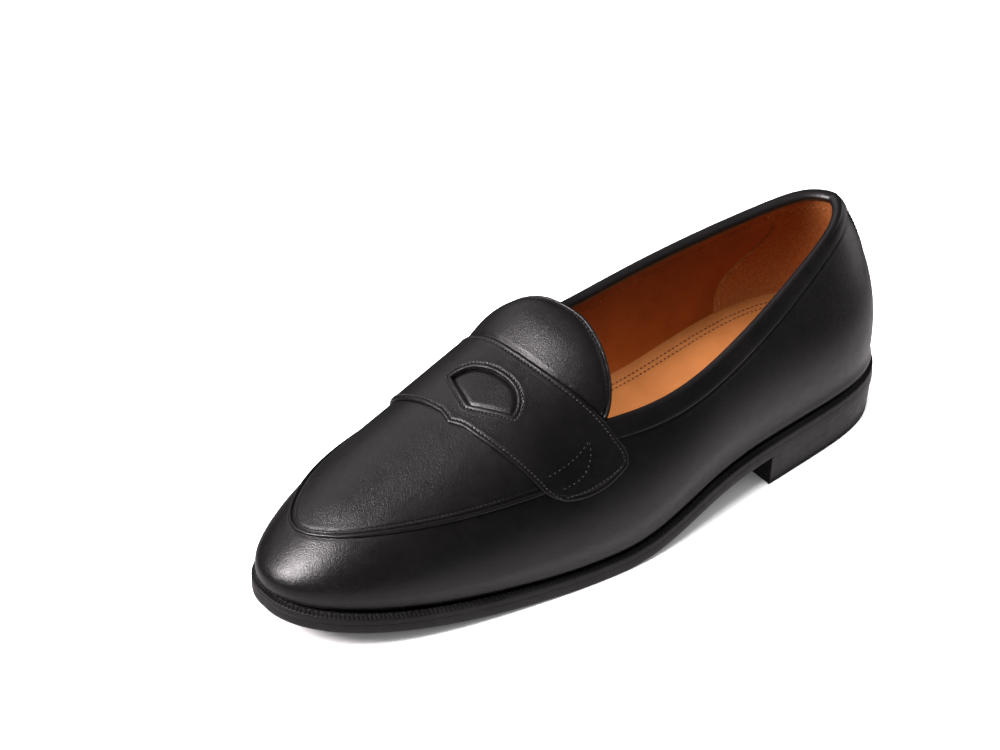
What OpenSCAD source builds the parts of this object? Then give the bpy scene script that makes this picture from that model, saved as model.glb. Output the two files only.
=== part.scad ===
// Penny loafer, left shoe, lasted on a man's last of about size 42.
// X runs heel to toe, Y to the wearer's left, Z up; the floor is Z = 0.
// The upper is built in layers on one last surface. A place on the last is
// given by q (0 at the heel back, 1 at the toe tip), a side (1 outer,
// -1 inner) and th, which climbs from -30 at the feather edge through 0 at
// the widest level to 90 on the crest of the instep.

/* [Last] */
// Length of the last at its widest level
last_len = 296; // [270:1:325]
// Width of the last against the drawn one
width_scale = 1; // [0.94:0.01:1.08]
// Height of the heel under the outsole
heel_h = 14; // [10:0.5:20]
// Rise of the outsole at the toe tip
toe_spring = 10.8; // [8:0.1:14]
// Height of the topline at the heel back
back_h = 94.5; // [88:0.5:98]

/* [Bottom] */
// Thickness of the outsole
sole_t = 4.3; // [3:0.1:5]
// Thickness of the welt
welt_t = 3; // [2:0.1:4]
// Thickness of the rubber top lift
toplift_t = 5; // [4:0.5:6]
// Thickness of the insole board
insole_t = 2.2; // [1.6:0.1:3]
// Thickness of the sock
sock_t = 1.2; // [0.8:0.1:2]

/* [Leather] */
// Thickness of the upper leather
skin_t = 1.3; // [1:0.1:1.6]
// Thickness of the stiffeners and interlining
stiff_t = 0.8; // [0.5:0.1:1.2]
// Thickness of the lining leather
lining_t = 0.9; // [0.6:0.1:1.2]
// Thickness of the saddle strap
strap_t = 1.4; // [1.1:0.1:1.8]
// Loft of the tongue padding
tongue_loft = 2.4; // [1.6:0.1:3]
// Diameter of the moccasin bead round the apron
bead_d = 2.2; // [1.6:0.1:3]

/* [Thread] */
// Diameter of the sewing thread
thread_d = 0.6; // [0.4:0.05:0.9]

/* [Hidden] */
k = last_len / 296;
kw = k * width_scale;
// half widths of the widest level, outer and inner side, every 1/8 of q
lat = [63.8, 63.2, 49, 45.8, 54.7, 52.7, 54.1, 57.3, 59.7];
med = [63.8, 59.3, 46, 40.6, 39.8, 45.3, 53.2, 53, 59.7];
// shape of the outsole underside: heel and arch, then toe spring
arch = [1, 1, 1.018, 0.98, -0.074, 0, 0, 0, 0];
spring = [0, 0, 0, 0, 0, 0, 0.16, 0.53, 1];
// height of the crest of the last along its length
crest = [118, 114, 111.2, 107.5, 99.5, 84.5, 66.8, 51.7, 36.2];
// topline height against back_h
topline = [1, 0.955, 0.851, 0.76, 0.688, 0.698];
// how far the collar band reaches below the topline, every 0.11 of q
band = [4.5, 4, 4.2, 6.6, 7.2, 6.2];
// inset of the feather edge and reach of the welt past it
inset = [0.9, 2.6, 4, 4, 3.7];
reach = [1.7, 3.1, 4.4, 3.6, 7.7, 4.5];
// height of the widest level over the feather edge
belly = [19.1, 21.5, 16.6, 6.8, 6];
// height of the pad under the sock, every 1/12 of the length
pad = [13.2, 13.7, 11.5, 4.6, -0.7, 0, 0, 0, 0, 0, 0, 0, 0];
// sideways place of the crest
lean = [0.2, -1.2, -6.7, 1.5, 2.1];
// fullness of the cross sections, across and up
full_n = [1.41, 0.56, 2.46, 2, 1.97];
full_m = [1.92, 2.08, 2.06, 2.08, 2.17];
// the crest line stays between these, and eases into them
crest_x0 = 0.12 * last_len;
crest_x1 = 0.884 * last_len;
breast_x = 0.267 * last_len;
// th of the apron seam, every 0.1 of q from 0.5
apron_lat = [21.5, 26.9, 36.5, 53.6, 60.6, 58.7];
apron_med = [21, 26.2, 34, 48.4, 55.4, 58.5];
// front and rear edge of the strap, from the inner end to the outer end
strap_front = [206, 215.5, 218.6, 215.4, 212.6, 202.7, 192];
strap_rear = [171.5, 179.5, 182.6, 181.5, 177.6, 165.6, 156.5];
strap_reach = 72.5;
welt_top = sole_t + welt_t;
under_stiff = skin_t + stiff_t;
under_lining = skin_t + stiff_t + lining_t;
insole_top = welt_top + 0.9;
lift_t = (heel_h - 0.2 - toplift_t) / 2;
thread_r = thread_d / 2;
tiny = 0.04;

function clip(v, a, b) = min(max(v, a), b);
// v up to a limit, eased into it over a distance w before and after
function ease(v, top, w) = v < top - w ? v : v > top + w ? top
    : v - (v - top + w) ^ 2 / (4 * w);
function mix(a, b, t) = a + (b - a) * t;
// smooth curve through evenly spaced control values
function curve(c, u) = let (n = len(c) - 1, t = clip(u, 0, 1) * n,
    i = min(floor(t), n - 1), f = t - i,
    p = i == 0 ? 2 * c[0] - c[1] : c[i - 1],
    r = i + 2 > n ? 2 * c[n] - c[n - 1] : c[i + 2])
    ((1 - f) ^ 3 * p + (3 * f ^ 3 - 6 * f ^ 2 + 4) * c[i]
    + (-3 * f ^ 3 + 3 * f ^ 2 + 3 * f + 1) * c[i + 1] + f ^ 3 * r) / 6;

function x_of(q) = last_len * (1 - cos(180 * q)) / 2;
function q_of(x) = acos(clip(1 - 2 * x / last_len, -1, 1)) / 180;
function plan(q, s) =
    [x_of(q), s * kw * sin(180 * q) * curve(s > 0 ? lat : med, q)];
// outward direction of the plan outline
function out(q, s) = q <= 0 ? [-1, 0] : q >= 1 ? [1, 0] :
    let (t = plan(min(q + 0.0005, 1), s) - plan(max(q - 0.0005, 0), s))
    [-t[1] * s, t[0] * s] / norm(t);
function edge(q, s, d) = plan(q, s) + out(q, s) * d;
function z_under(x) = max(0, heel_h * curve(arch, x / last_len)
    + toe_spring * curve(spring, x / last_len));
function z_feather(x) = z_under(x) + welt_top;
function z_crest(x) = k * curve(crest, x / last_len);
function z_topline(x) = back_h * curve(topline, x / (0.56 * last_len));

// a point of the last surface
function last(q, s, th) = let (
    t = clip(th, 0, 90), h = clip(-th / 30, 0, 1),
    ax = -ease(-ease(x_of(q), crest_x1, 22 * k), -crest_x0, 18 * k),
    a = [ax, kw * curve(lean, ax / last_len)],
    c = th >= 90 ? 0 : cos(t) ^ (2 / curve(full_n, q)),
    r = sin(t) ^ (2 / curve(full_m, q)),
    p = a + (plan(q, s) - a) * c - out(q, s) * curve(inset, q) * h ^ 2,
    zf = z_feather(x_of(q)), zw = zf + k * curve(belly, q))
    [p[0], p[1], th >= 0 ? zw + (z_crest(p[0]) - zw) * r : zw - (zw - zf) * h];
function unit(v) = v / norm(v);
// outward normal, the same on both sides along the crest and the two ends
function normal(q, s, th) = th >= 89.9 ? let (x = last(q, s, 90)[0])
    unit([z_crest(x - 1) - z_crest(x + 1), 0, 2])
    : let (a = last(q, s, max(th - 1, -30)), b = last(q, s, min(th + 1, 90)), t = b - a)
    q <= 0.0005 ? unit([-t[2], 0, t[0]]) : q >= 0.9995 ? unit([t[2], 0, -t[0]])
    : unit(-s * cross(last(q + 0.0005, s, th) - last(q - 0.0005, s, th), t));
function climb(q, s, th) =
    unit(last(q, s, min(th + 1, 90)) - last(q, s, max(th - 1, -30)));
// the last surface moved out by d and along its climb by up
function skin(q, s, th, d, up = 0) = last(q, s, th)
    + normal(q, s, th) * d + (up == 0 ? [0, 0, 0] : climb(q, s, th) * up);
// a place given by x and by the angle a over the crest, outer side positive
function over(x, a, d) = skin(q_of(x), a < 0 ? -1 : 1, 90 - abs(a), d);

// th at which the last reaches height z
function th_at(q, s, z, g = 40, n = 7) = n == 0 ? g : let (
    zw = z_feather(x_of(q)) + k * curve(belly, q), top = z_crest(last(q, s, g)[0]))
    th_at(q, s, z, asin(clip((z - zw) / (top - zw), 0, 1) ^ (curve(full_m, q) / 2)), n - 1);
function th_top(q, s) = th_at(q, s, z_topline(x_of(q)));
function th_collar(q, s) = th_at(q, s, z_topline(x_of(q)) - curve(band, q / 0.55));
function th_apron(q, s) = curve(s > 0 ? apron_lat : apron_med, (q - 0.5) / 0.5);
// front end of the collar, under the rear edge of the strap
function mouth_q(s) = s > 0 ? 0.527 : 0.558;
throat_q = 0.584;
// upper edge of the skirt: under the collar, across the throat, along the apron
function th_skirt(q, s) = q < mouth_q(s) ? th_top(q, s) - 1
    : q < throat_q ? mix(th_top(mouth_q(s), s) - 1, th_apron(throat_q, s),
        (q - mouth_q(s)) / (throat_q - mouth_q(s)))
    : th_apron(q, s);

// a closed sheet between two grids of points, each grid a list of rows;
// weld joins the last column of the first half of the rows to the second
module sheet(g0, g1, weld = false) {
    n = len(g0);
    m = len(g0[0]);
    h = floor((n - 1) / 2);
    function id(i, j, l) = l * n * m + (weld && j == m - 1 && i > h ? n - 1 - i : i) * m + j;
    function quad(a, b, c, d) = [[a, b, c], [a, c, d]];
    faces = [for (i = [0 : n - 2], j = [0 : m - 2]) each concat(
            quad(id(i, j, 0), id(i, j + 1, 0), id(i + 1, j + 1, 0), id(i + 1, j, 0)),
            quad(id(i, j, 1), id(i + 1, j, 1), id(i + 1, j + 1, 1), id(i, j + 1, 1))),
        for (i = [0 : n - 2]) each concat(
            quad(id(i, 0, 0), id(i + 1, 0, 0), id(i + 1, 0, 1), id(i, 0, 1)),
            weld ? [] : quad(id(i + 1, m - 1, 0), id(i, m - 1, 0),
                id(i, m - 1, 1), id(i + 1, m - 1, 1))),
        for (j = [0 : m - 2]) each concat(
            quad(id(0, j + 1, 0), id(0, j, 0), id(0, j, 1), id(0, j + 1, 1)),
            quad(id(n - 1, j, 0), id(n - 1, j + 1, 0), id(n - 1, j + 1, 1), id(n - 1, j, 1)))];
    polyhedron([for (g = [g0, g1], r = g) each r], faces, convexity = 10);
}
// rows that run from q0 outer, through the toe or heel, to q0 inner
function way(q0, q1, n) = [for (i = [-n : n]) [mix(q1, q0, abs(i) / n), i < 0 ? 1 : -1]];
// a layer of the upper between two depths under the last surface
module layer(rows, lo, hi, m, d0, d1, weld = false) {
    function grid(d) = [for (w = rows) let (a = lo(w[0], w[1]), b = hi(w[0], w[1]))
        [for (j = [0 : m]) skin(w[0], w[1], mix(a, b, j / m), -d)]];
    sheet(grid(d0), grid(d1), weld);
}
// a slab under the foot, d(q) out from the last's outline, between two
// heights z0(x) and z1(x) over the outsole underside
module slab(q0, q1, n, d, z0, z1) {
    function ring(z) = [for (i = [0 : n]) let (q = mix(q0, q1, i / n))
        [for (s = [-1, 1]) let (p = edge(q, s, d(q)))
        [p[0], p[1], z_under(x_of(q)) + z(x_of(q))]]];
    sheet(ring(z1), ring(z0));
}
// the outline of the bottom at distance d from the feather edge
function bottom_edge(q, d) = d - curve(inset, q);
function welt_edge(q) = bottom_edge(q, curve(reach, q));
// height of the pad under the heel end of the sock
function pad_h(x) = max(0, k * curve(pad, x / last_len));
// how far out a slab reaches at height z over the feather edge, inside the lining
function seat_edge(q, z) = -under_lining - 0.15
    - curve(inset, q) * clip(1 - z / (k * curve(belly, q)), 0, 1) ^ 2;

// one stitch between two points
module stitch(a, b) {
    v = b - a;
    translate(a) rotate([0, acos(v[2] / norm(v)), atan2(v[1], v[0])])
        cylinder(h = norm(v), r = thread_r, $fn = 24);
}
// a row of n stitches along a path over 0..1
module row(path, n) {
    for (i = [0 : n - 1]) stitch(path((i + 0.16) / n), path((i + 0.84) / n));
}

// plan limits of the shoe, for its centre
plan_x = [for (s = [-1, 1], i = [0 : 60]) edge(i / 60, s, max(0, welt_edge(i / 60)))[0]];
plan_y = [for (s = [-1, 1], i = [0 : 60]) edge(i / 60, s, max(0, welt_edge(i / 60)))[1]];
centre = [(min(plan_x) + max(plan_x)) / 2, (min(plan_y) + max(plan_y)) / 2];
module placed() translate([-centre[0], -centre[1], 0]) children();

heel_inset = 2;
nail_d = 1.8;
nail_sink = 0.4;
heel_n = 14;
function heel_line(d) = [for (s = [1, -1]) let (n = heel_n, qb = q_of(breast_x))
    for (i = [0 : n - (s > 0 ? 0 : 1)]) let (j = s > 0 ? n - i : i + 1)
    edge(qb * j / n, s, welt_edge(qb * j / n) - d)];
// places of the heel nails, a ring set in from the outline
nail_spots = [for (s = [-1, 1], q = [0.1, 0.2, 0.28]) edge(q, s, welt_edge(q) - 9)];

module heel_slab(z, t, d0, d1) {
    translate([0, 0, z]) difference() {
        linear_extrude(t) polygon(heel_line((d0 + d1) / 2));
        for (p = nail_spots) translate([p[0], p[1], -1]) cylinder(h = t + 2, d = nail_d, $fn = 24);
    }
}
module heel_top_lift() color("#161616") placed()
    heel_slab(0, toplift_t, heel_inset, 1.6);
module heel_lift_lower() color("#1d1a19") placed()
    heel_slab(toplift_t, lift_t, 1.4, 1.2);
module heel_lift_upper() color("#1d1a19") placed()
    heel_slab(toplift_t + lift_t, lift_t, 0.9, 0.7);
module heel_nails() color("#b08d4a") placed()
    for (p = nail_spots) translate([p[0], p[1], nail_sink])
        cylinder(h = heel_h - 0.2 - nail_sink, d = nail_d - 0.02, $fn = 24);

module outsole() color("#242120") placed()
    slab(0, 1, 64, function(q) welt_edge(q), function(x) 0, function(x) sole_t);
module welt() {
    n = 64;
    inner = 3.6;
    ring = [for (i = [0 : 2 * n - 1]) let (q = i <= n ? i / n : 2 - i / n, s = i <= n ? 1 : -1,
        x = x_of(q), a = edge(q, s, welt_edge(q)), b = edge(q, s, bottom_edge(q, -inner)))
        [[a[0], a[1], z_under(x) + sole_t], [a[0], a[1], z_under(x) + welt_top],
        [b[0], b[1], z_under(x) + welt_top], [b[0], b[1], z_under(x) + sole_t]]];
    m = len(ring);
    function v(i, j) = (i % m) * 4 + j % 4;
    color("#1f1c1b") placed() {
        polyhedron([for (r = ring) each r],
            [for (i = [0 : m - 1], j = [0 : 3]) each [[v(i, j), v(i + 1, j), v(i + 1, j + 1)],
                [v(i, j), v(i + 1, j + 1), v(i, j + 1)]]], convexity = 4);
    }
}
module welt_stitches() {
    q0 = 0.47;
    module side(s) row(function(t) let (q = mix(q0, 1, t), p = edge(q, s, welt_edge(q) - 1.9))
        [p[0], p[1], z_feather(x_of(q)) + thread_r], 34);
    color("#3a3634") placed() {
        side(1);
        side(-1);
    }
}
module cork_filler() color("#a97c4f") placed()
    slab(0.52, 0.93, 24, function(q) bottom_edge(q, -6),
        function(x) sole_t, function(x) insole_top - insole_t);
module heel_seat_filler() color("#8d7355") placed()
    slab(0.03, 0.3, 14, function(q) bottom_edge(q, -6),
        function(x) sole_t, function(x) insole_top - insole_t);
module steel_shank() color("#9aa0a5") placed() {
    half_w = 7.5;
    sheet([for (i = [0 : 20]) let (x = mix(62, 146, i / 20) * k)
        [for (s = [-1, 1]) [x, 3 + s * half_w, z_under(x) + insole_top - insole_t]]],
        [for (i = [0 : 20]) let (x = mix(62, 146, i / 20) * k)
        [for (s = [-1, 1]) [x, 3 + s * half_w, z_under(x) + sole_t]]]);
}
module insole_board() color("#b99b74") placed()
    slab(0.012, 0.988, 48, function(q) bottom_edge(q, -3.7),
        function(x) insole_top - insole_t, function(x) insole_top);
module heel_pad() color("#cfc3a8") placed()
    slab(0.03, q_of(95 * k), 20, function(q) seat_edge(q, insole_top - welt_top),
        function(x) insole_top, function(x) insole_top + pad_h(x));
module sock_liner() color("#b9834c") placed()
    slab(0.025, 0.97, 56, function(q) seat_edge(q, insole_top - welt_top + pad_h(x_of(q))),
        function(x) insole_top + pad_h(x), function(x) insole_top + pad_h(x) + sock_t);
module sock_stitches() {
    module side(s, d) row(function(t) let (q = mix(0.1, 0.52, t), x = x_of(q),
        p = edge(q, s, seat_edge(q, insole_top - welt_top + pad_h(x)) - d))
        [p[0], p[1], z_under(x) + insole_top + pad_h(x) + sock_t + thread_r], 34);
    color("#7a5230") placed() {
        for (s = [-1, 1], d = [5.5, 8]) side(s, d);
    }
}

// the side wall of the upper: one piece from the back seam round the toe
module upper_skirt() color("#191818") placed() {
    n = 34;
    rows = [for (i = [-n : n]) [mix(1, 0.004, (abs(i) / n) ^ 1.1), i < 0 ? 1 : -1]];
    layer(rows, function(q, s) -30, function(q, s) th_skirt(q, s), 7, 0, skin_t);
}
module back_strip() color("#1b1a1a") placed() {
    q_half = 0.045;
    layer([for (i = [-4 : 4]) [q_half * abs(i) / 4, i < 0 ? 1 : -1]],
        function(q, s) -29, function(q, s) th_collar(q, s) - 1, 8, -1, 0);
}
module back_strip_stitches() {
    module side(s) row(function(t) let (q = 0.036)
        skin(q, s, mix(-27, th_collar(q, s) - 3, t), 1 + thread_r), 13);
    color("#3a3634") placed() {
        side(1);
        side(-1);
    }
}
module apron() color("#1c1b1b") placed()
    layer(way(throat_q, 1, 20), function(q, s) th_apron(q, s) + 0.4, function(q, s) 90,
        7, 0, skin_t, true);
// the bead starts in front of the strap
function bead_q(s) = q_of((s > 0 ? 199.5 : 213) * k);
module moccasin_bead() {
    sides = 6;
    rows = [for (i = [-26 : 26]) let (s = i < 0 ? 1 : -1) [mix(1, bead_q(s), abs(i) / 26), s]];
    r = bead_d / 2;
    function ring(w) = let (th = th_apron(w[0], w[1]), p = skin(w[0], w[1], th, r + tiny),
        n = normal(w[0], w[1], th), c = climb(w[0], w[1], th))
        [for (j = [0 : sides - 1]) p + r * (n * cos(360 * j / sides) + c * sin(360 * j / sides))];
    pts = [for (w = rows) each ring(w)];
    m = len(rows);
    function v(i, j) = i * sides + j % sides;
    color("#161515") placed() {
        polyhedron(pts, concat([for (i = [0 : m - 2], j = [0 : sides - 1])
            each [[v(i, j), v(i, j + 1), v(i + 1, j + 1)], [v(i, j), v(i + 1, j + 1), v(i + 1, j)]]],
            [for (j = [1 : sides - 2]) each [[v(0, 0), v(0, j + 1), v(0, j)],
                [v(m - 1, 0), v(m - 1, j), v(m - 1, j + 1)]]]), convexity = 6);
    }
}
module apron_stitches() {
    module side(s) row(function(t) let (q = mix(bead_q(s) + 0.006, 0.999, t))
        skin(q, s, th_apron(q, s) + 4, thread_r), 26);
    color("#3a3634") placed() {
        side(1);
        side(-1);
    }
}

// tongue: outer and inner edge angle over the crest, from the dome's top forward
tongue_x = 152.4;
tongue_end = 186.4;
dome_a = 18;
function tongue_out(x) = let (t = clip((x - tongue_x) / 14, 0, 1))
    dome_a + 34.5 * sqrt(1 - (1 - t) ^ 2) + 7 * clip((x - 167) / 20, 0, 1);
function tongue_in(x) = let (t = max(x - tongue_x, 0) / 24)
    max(dome_a - 71 * t ^ 0.75, -53 - 6 * clip((x - 178) / 8.4, 0, 1));
// how far the padding lifts the tongue, down to nothing at the strap's rear edge
function loft(x, a) = tongue_loft * clip((strap_r(a) - x) / 12, 0, 1) ^ 0.8;
module tongue_piece(x0, x1, n, m, trim, d1, d0) {
    function grid(d) = [for (i = [0 : n]) let (x = mix(x0, x1, (i / n) ^ 1.6),
        a = tongue_out(x) - trim(x), b = tongue_in(x) + trim(x))
        [for (j = [0 : m]) let (c = mix(a, b, j / m)) over(x * k, c, d(x, c))]];
    sheet(grid(d1), grid(d0));
}
module tongue() color("#1c1b1b") placed()
    tongue_piece(tongue_x + 0.25, tongue_end, 16, 14, function(x) 0,
        function(x, a) loft(x, a), function(x, a) loft(x, a) - skin_t + 0.1);
// the foam narrows towards the strap and thins out there
module tongue_padding() color("#d8cdb8") placed()
    tongue_piece(tongue_x + 3, 174, 8, 8, function(x) 4 + 1.3 * max(0, x - 160),
        function(x, a) max(loft(x, a), 0.09) - skin_t, function(x, a) -skin_t);
module tongue_lining() color("#7d4424") placed()
    tongue_piece(tongue_x + 0.6, 185, 12, 8, function(x) 1,
        function(x, a) -skin_t - tiny, function(x, a) -skin_t - lining_t);
module tongue_stitches() {
    module side(f, sgn) row(function(t) let (x = mix(tongue_x + 3, 166, t ^ 1.4),
        a = f(x) + sgn * 3) over(x * k, a, loft(x, a) + thread_r + 0.1), 8);
    color("#3a3634") placed() {
        side(function(x) tongue_out(x), -1);
        side(function(x) tongue_in(x), 1);
    }
}

// saddle strap with its slot; a runs from the inner to the outer end
slot_a = 10.6;
slot_half = 17;
function strap_u(a) = (a + 72) / 144;
function strap_tip(a) = 2 * max(0, 1 - abs(a - slot_a) / 8) ^ 1.5;
function strap_f(a) = curve(strap_front, strap_u(a)) + strap_tip(a);
function strap_r(a) = curve(strap_rear, strap_u(a));
function slot_p(a) = clip((a - slot_a) / slot_half, -1, 1);
// the slot lies on a slanted line, which runs on into the strap's middle
function slot_mid(a) = let (w = clip((abs(a - slot_a) - slot_half) / 30, 0, 1))
    mix(199 - 0.19 * (a - slot_a), (strap_f(a) + strap_r(a)) / 2, w);
function slot_f(a) = slot_mid(a) + 7 * (1 - abs(slot_p(a)) ^ 1.15);
function slot_r(a) = slot_mid(a) - 8.6 * (1 - abs(slot_p(a)) ^ 2.6) ^ 0.7;
// strap coordinates: v -1..1 along, u -1..1 from the rear edge to the front
function strap_at(x, a, d) = let (c = (strap_f(a) + strap_r(a)) / 2,
    u = (x - c) / (strap_f(a) - c), e = clip((abs(a) - 60) / (strap_reach - 60), 0, 1),
    u2 = u * sqrt(1 - 0.42 * e ^ 2), e2 = e * sqrt(1 - 0.42 * u ^ 2),
    a2 = e > 0 ? sign(a) * mix(60, strap_reach, e2) : a)
    over((c + u2 * (strap_f(a2) - c)) * k, a2, d);
module saddle_strap() {
    m = 4;
    // angles packed so that both ends of the slot fall on a row
    ang = concat([for (i = [0 : 13]) mix(-strap_reach, slot_a - slot_half, i / 14)],
        [for (i = [0 : 16]) slot_a - slot_half * cos(180 * i / 16)],
        [for (i = [1 : 13]) mix(slot_a + slot_half, strap_reach, i / 13)]);
    lo = 14;
    hi = 30;
    rows = len(ang);
    function col(a, j, d) = j <= m ? strap_at(mix(strap_r(a), slot_r(a), j / m), a, d)
        : strap_at(mix(slot_f(a), strap_f(a), (j - m - 1) / m), a, d);
    w = 2 * m + 2;
    pts = [for (d = [strap_t, tiny], a = ang) each [for (j = [0 : w - 1]) col(a, j, d)]];
    function id(i, j, l) = l * rows * w + i * w + (j == m + 1 && (i <= lo || i >= hi) ? m : j);
    function quad(a, b, c, d) = [[a, b, c], [a, c, d]];
    color("#1a1919") placed() {
        polyhedron(pts, [for (i = [0 : rows - 2], j = [0 : w - 2]) if (j != m) each concat(
                quad(id(i, j, 0), id(i + 1, j, 0), id(i + 1, j + 1, 0), id(i, j + 1, 0)),
                quad(id(i, j, 1), id(i, j + 1, 1), id(i + 1, j + 1, 1), id(i + 1, j, 1))),
            for (i = [0 : rows - 2]) each concat(
                quad(id(i + 1, 0, 0), id(i, 0, 0), id(i, 0, 1), id(i + 1, 0, 1)),
                quad(id(i, w - 1, 0), id(i + 1, w - 1, 0), id(i + 1, w - 1, 1), id(i, w - 1, 1))),
            for (i = [lo : hi - 1]) each concat(
                quad(id(i, m, 0), id(i + 1, m, 0), id(i + 1, m, 1), id(i, m, 1)),
                quad(id(i + 1, m + 1, 0), id(i, m + 1, 0), id(i, m + 1, 1), id(i + 1, m + 1, 1))),
            for (j = [0 : w - 2]) if (j != m) each concat(
                quad(id(0, j, 0), id(0, j + 1, 0), id(0, j + 1, 1), id(0, j, 1)),
                quad(id(rows - 1, j + 1, 0), id(rows - 1, j, 0),
                    id(rows - 1, j, 1), id(rows - 1, j + 1, 1)))], convexity = 10);
    }
}
strap_lift = strap_t + thread_r;
module strap_edge_stitches() {
    long = 68;
    module end(s) row(function(t) let (a = s * 70.5)
        strap_at(mix(strap_r(a) + 3.5, strap_f(a) - 3.5, t), a, strap_lift), 7);
    color("#3a3634") placed() {
        row(function(t) let (a = mix(-long, long, t)) strap_at(strap_f(a) - 2.2, a, strap_lift), 30);
        row(function(t) let (a = mix(-long, long, t)) strap_at(strap_r(a) + 2.2, a, strap_lift), 30);
        end(1);
        end(-1);
    }
}
module strap_slot_stitches() color("#3a3634") placed() {
    grow = 1.14;
    row(function(t) let (a = slot_a - grow * slot_half * cos(180 * t), p = slot_a + (a - slot_a) / grow)
        strap_at(slot_f(p) + 2 * sin(180 * t), a, strap_lift), 11);
    row(function(t) let (a = slot_a - grow * slot_half * cos(180 * t), p = slot_a + (a - slot_a) / grow)
        strap_at(slot_r(p) - 2 * sin(180 * t), a, strap_lift), 11);
}
module strap_end_stitches() {
    // a half moon of two rows at each end of the strap, from a point at the rear
    function moon_rear(s) = strap_r(s * 54) + 10;
    function moon_front(s) = strap_f(s * 62) - 3;
    module inner(s) row(function(t) strap_at(mix(moon_rear(s), moon_front(s), t),
        s * (57.3 - 3.5 * (1 - t) ^ 3), strap_lift), 7);
    module outer(s) row(function(t) strap_at(mix(moon_rear(s), moon_front(s) - 4, t ^ 1.6),
        s * (53.9 + 11 * (1 - (1 - t) ^ 3)), strap_lift), 8);
    color("#3a3634") placed() for (s = [-1, 1]) {
        inner(s);
        outer(s);
    }
}

module collar_binding() {
    n = 26;
    rows = [for (i = [-n : n]) let (s = i < 0 ? 1 : -1) [mouth_q(s) * abs(i) / n, s]];
    wrap = 0.9;
    in_t = under_lining;
    // [th against the topline, depth, rise] over the roll, outside to inside
    function chain(q, s, g) = let (t = th_top(q, s), c = th_collar(q, s))
        g == 0 ? [[c, wrap, 0], [t - 1, wrap, 0], [t, wrap - 0.4, 0.9], [t, -in_t / 2, 1.5],
            [t, -in_t - wrap + 0.4, 0.9], [t - 1, -in_t - wrap, 0], [t - 5, -in_t - wrap, 0]]
        : [[c, tiny, 0], [t - 1, tiny, 0], [t, 0, 0.12], [t, -in_t / 2, 0.3],
            [t, -in_t, 0.12], [t - 1, -in_t - tiny, 0], [t - 5, -in_t - tiny, 0]];
    function grid(g) = [for (w = rows) [for (c = chain(w[0], w[1], g))
        skin(w[0], w[1], c[0], c[1], c[2])]];
    color("#171616") placed() {
        sheet(grid(0), grid(1));
    }
}
module collar_stitches() {
    module side(s) row(function(t) let (q = mix(0.01, mouth_q(s) - 0.004, t))
        skin(q, s, th_collar(q, s) + 1.6, 0.9 + thread_r), 36);
    color("#3a3634") placed() {
        side(1);
        side(-1);
    }
}

counter_q = 0.31;
puff_q = 0.8;
module heel_counter() color("#6f6a60") placed()
    layer(way(counter_q, 0, 14), function(q, s) -30,
        function(q, s) th_collar(q, s) - 4 - 14 * (q / counter_q) ^ 3, 6, skin_t, under_stiff);
module interlining() color("#c9c2b2") placed() {
    q0 = counter_q + 0.006;
    q1 = puff_q - 0.006;
    for (s = [-1, 1])
        layer([for (i = [0 : 20]) [s > 0 ? mix(q0, q1, i / 20) : mix(q1, q0, i / 20), s]],
            function(q, s) -30, function(q, s) th_skirt(q, s) - 2, 6, skin_t, under_stiff);
}
module toe_puff() color("#5f5b52") placed()
    layer(way(puff_q, 1, 12), function(q, s) -30, function(q, s) 90, 8,
        skin_t, under_stiff, true);
module vamp_lining() color("#8a4a24") placed()
    layer(way(throat_q, 1, 18), function(q, s) -30, function(q, s) 90, 9,
        under_stiff, under_lining, true);
grip_q = 0.2;
function quarter_lining_rows(s) = [for (i = [0 : 20])
    [s > 0 ? mix(grip_q, throat_q - 0.004, i / 20) : mix(throat_q - 0.004, grip_q, i / 20), s]];
module quarter_lining_outer() color("#7d4424") placed()
    layer(quarter_lining_rows(1), function(q, s) -30,
        function(q, s) min(th_skirt(q, s) + 0.5, th_top(q, s) - 0.5), 6, under_stiff, under_lining);
module quarter_lining_inner() color("#7d4424") placed()
    layer(quarter_lining_rows(-1), function(q, s) -30,
        function(q, s) min(th_skirt(q, s) + 0.5, th_top(q, s) - 0.5), 6, under_stiff, under_lining);
module heel_grip() color("#b3703c") placed()
    layer(way(grip_q - 0.004, 0, 10), function(q, s) -30,
        function(q, s) th_top(q, s) - 0.5, 6, under_stiff, under_lining);
module lining_stitches() {
    module side(s) row(function(t) let (q = mix(0.22, 0.52, t))
        skin(q, s, th_top(q, s) - 8, -under_lining - thread_r), 20);
    color("#8d5a35") placed() {
        side(1);
        side(-1);
    }
}
module heel_grip_stitches() {
    module side(s) row(function(t) let (q = grip_q - 0.014)
        skin(q, s, mix(-16, th_top(q, s) - 7, t), -under_lining - thread_r), 12);
    color("#8d5a35") placed() {
        side(1);
        side(-1);
    }
}

heel_top_lift();
heel_lift_lower();
heel_lift_upper();
heel_nails();
outsole();
welt();
welt_stitches();
cork_filler();
heel_seat_filler();
steel_shank();
insole_board();
heel_pad();
sock_liner();
sock_stitches();
upper_skirt();
back_strip();
back_strip_stitches();
apron();
moccasin_bead();
apron_stitches();
tongue();
tongue_padding();
tongue_lining();
tongue_stitches();
saddle_strap();
strap_edge_stitches();
strap_slot_stitches();
strap_end_stitches();
collar_binding();
collar_stitches();
heel_counter();
interlining();
toe_puff();
vamp_lining();
quarter_lining_outer();
quarter_lining_inner();
heel_grip();
lining_stitches();
heel_grip_stitches();
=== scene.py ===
import math

import bmesh
import bpy
import numpy as np
from mathutils import Matrix, Vector, noise
from mathutils.kdtree import KDTree


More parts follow.
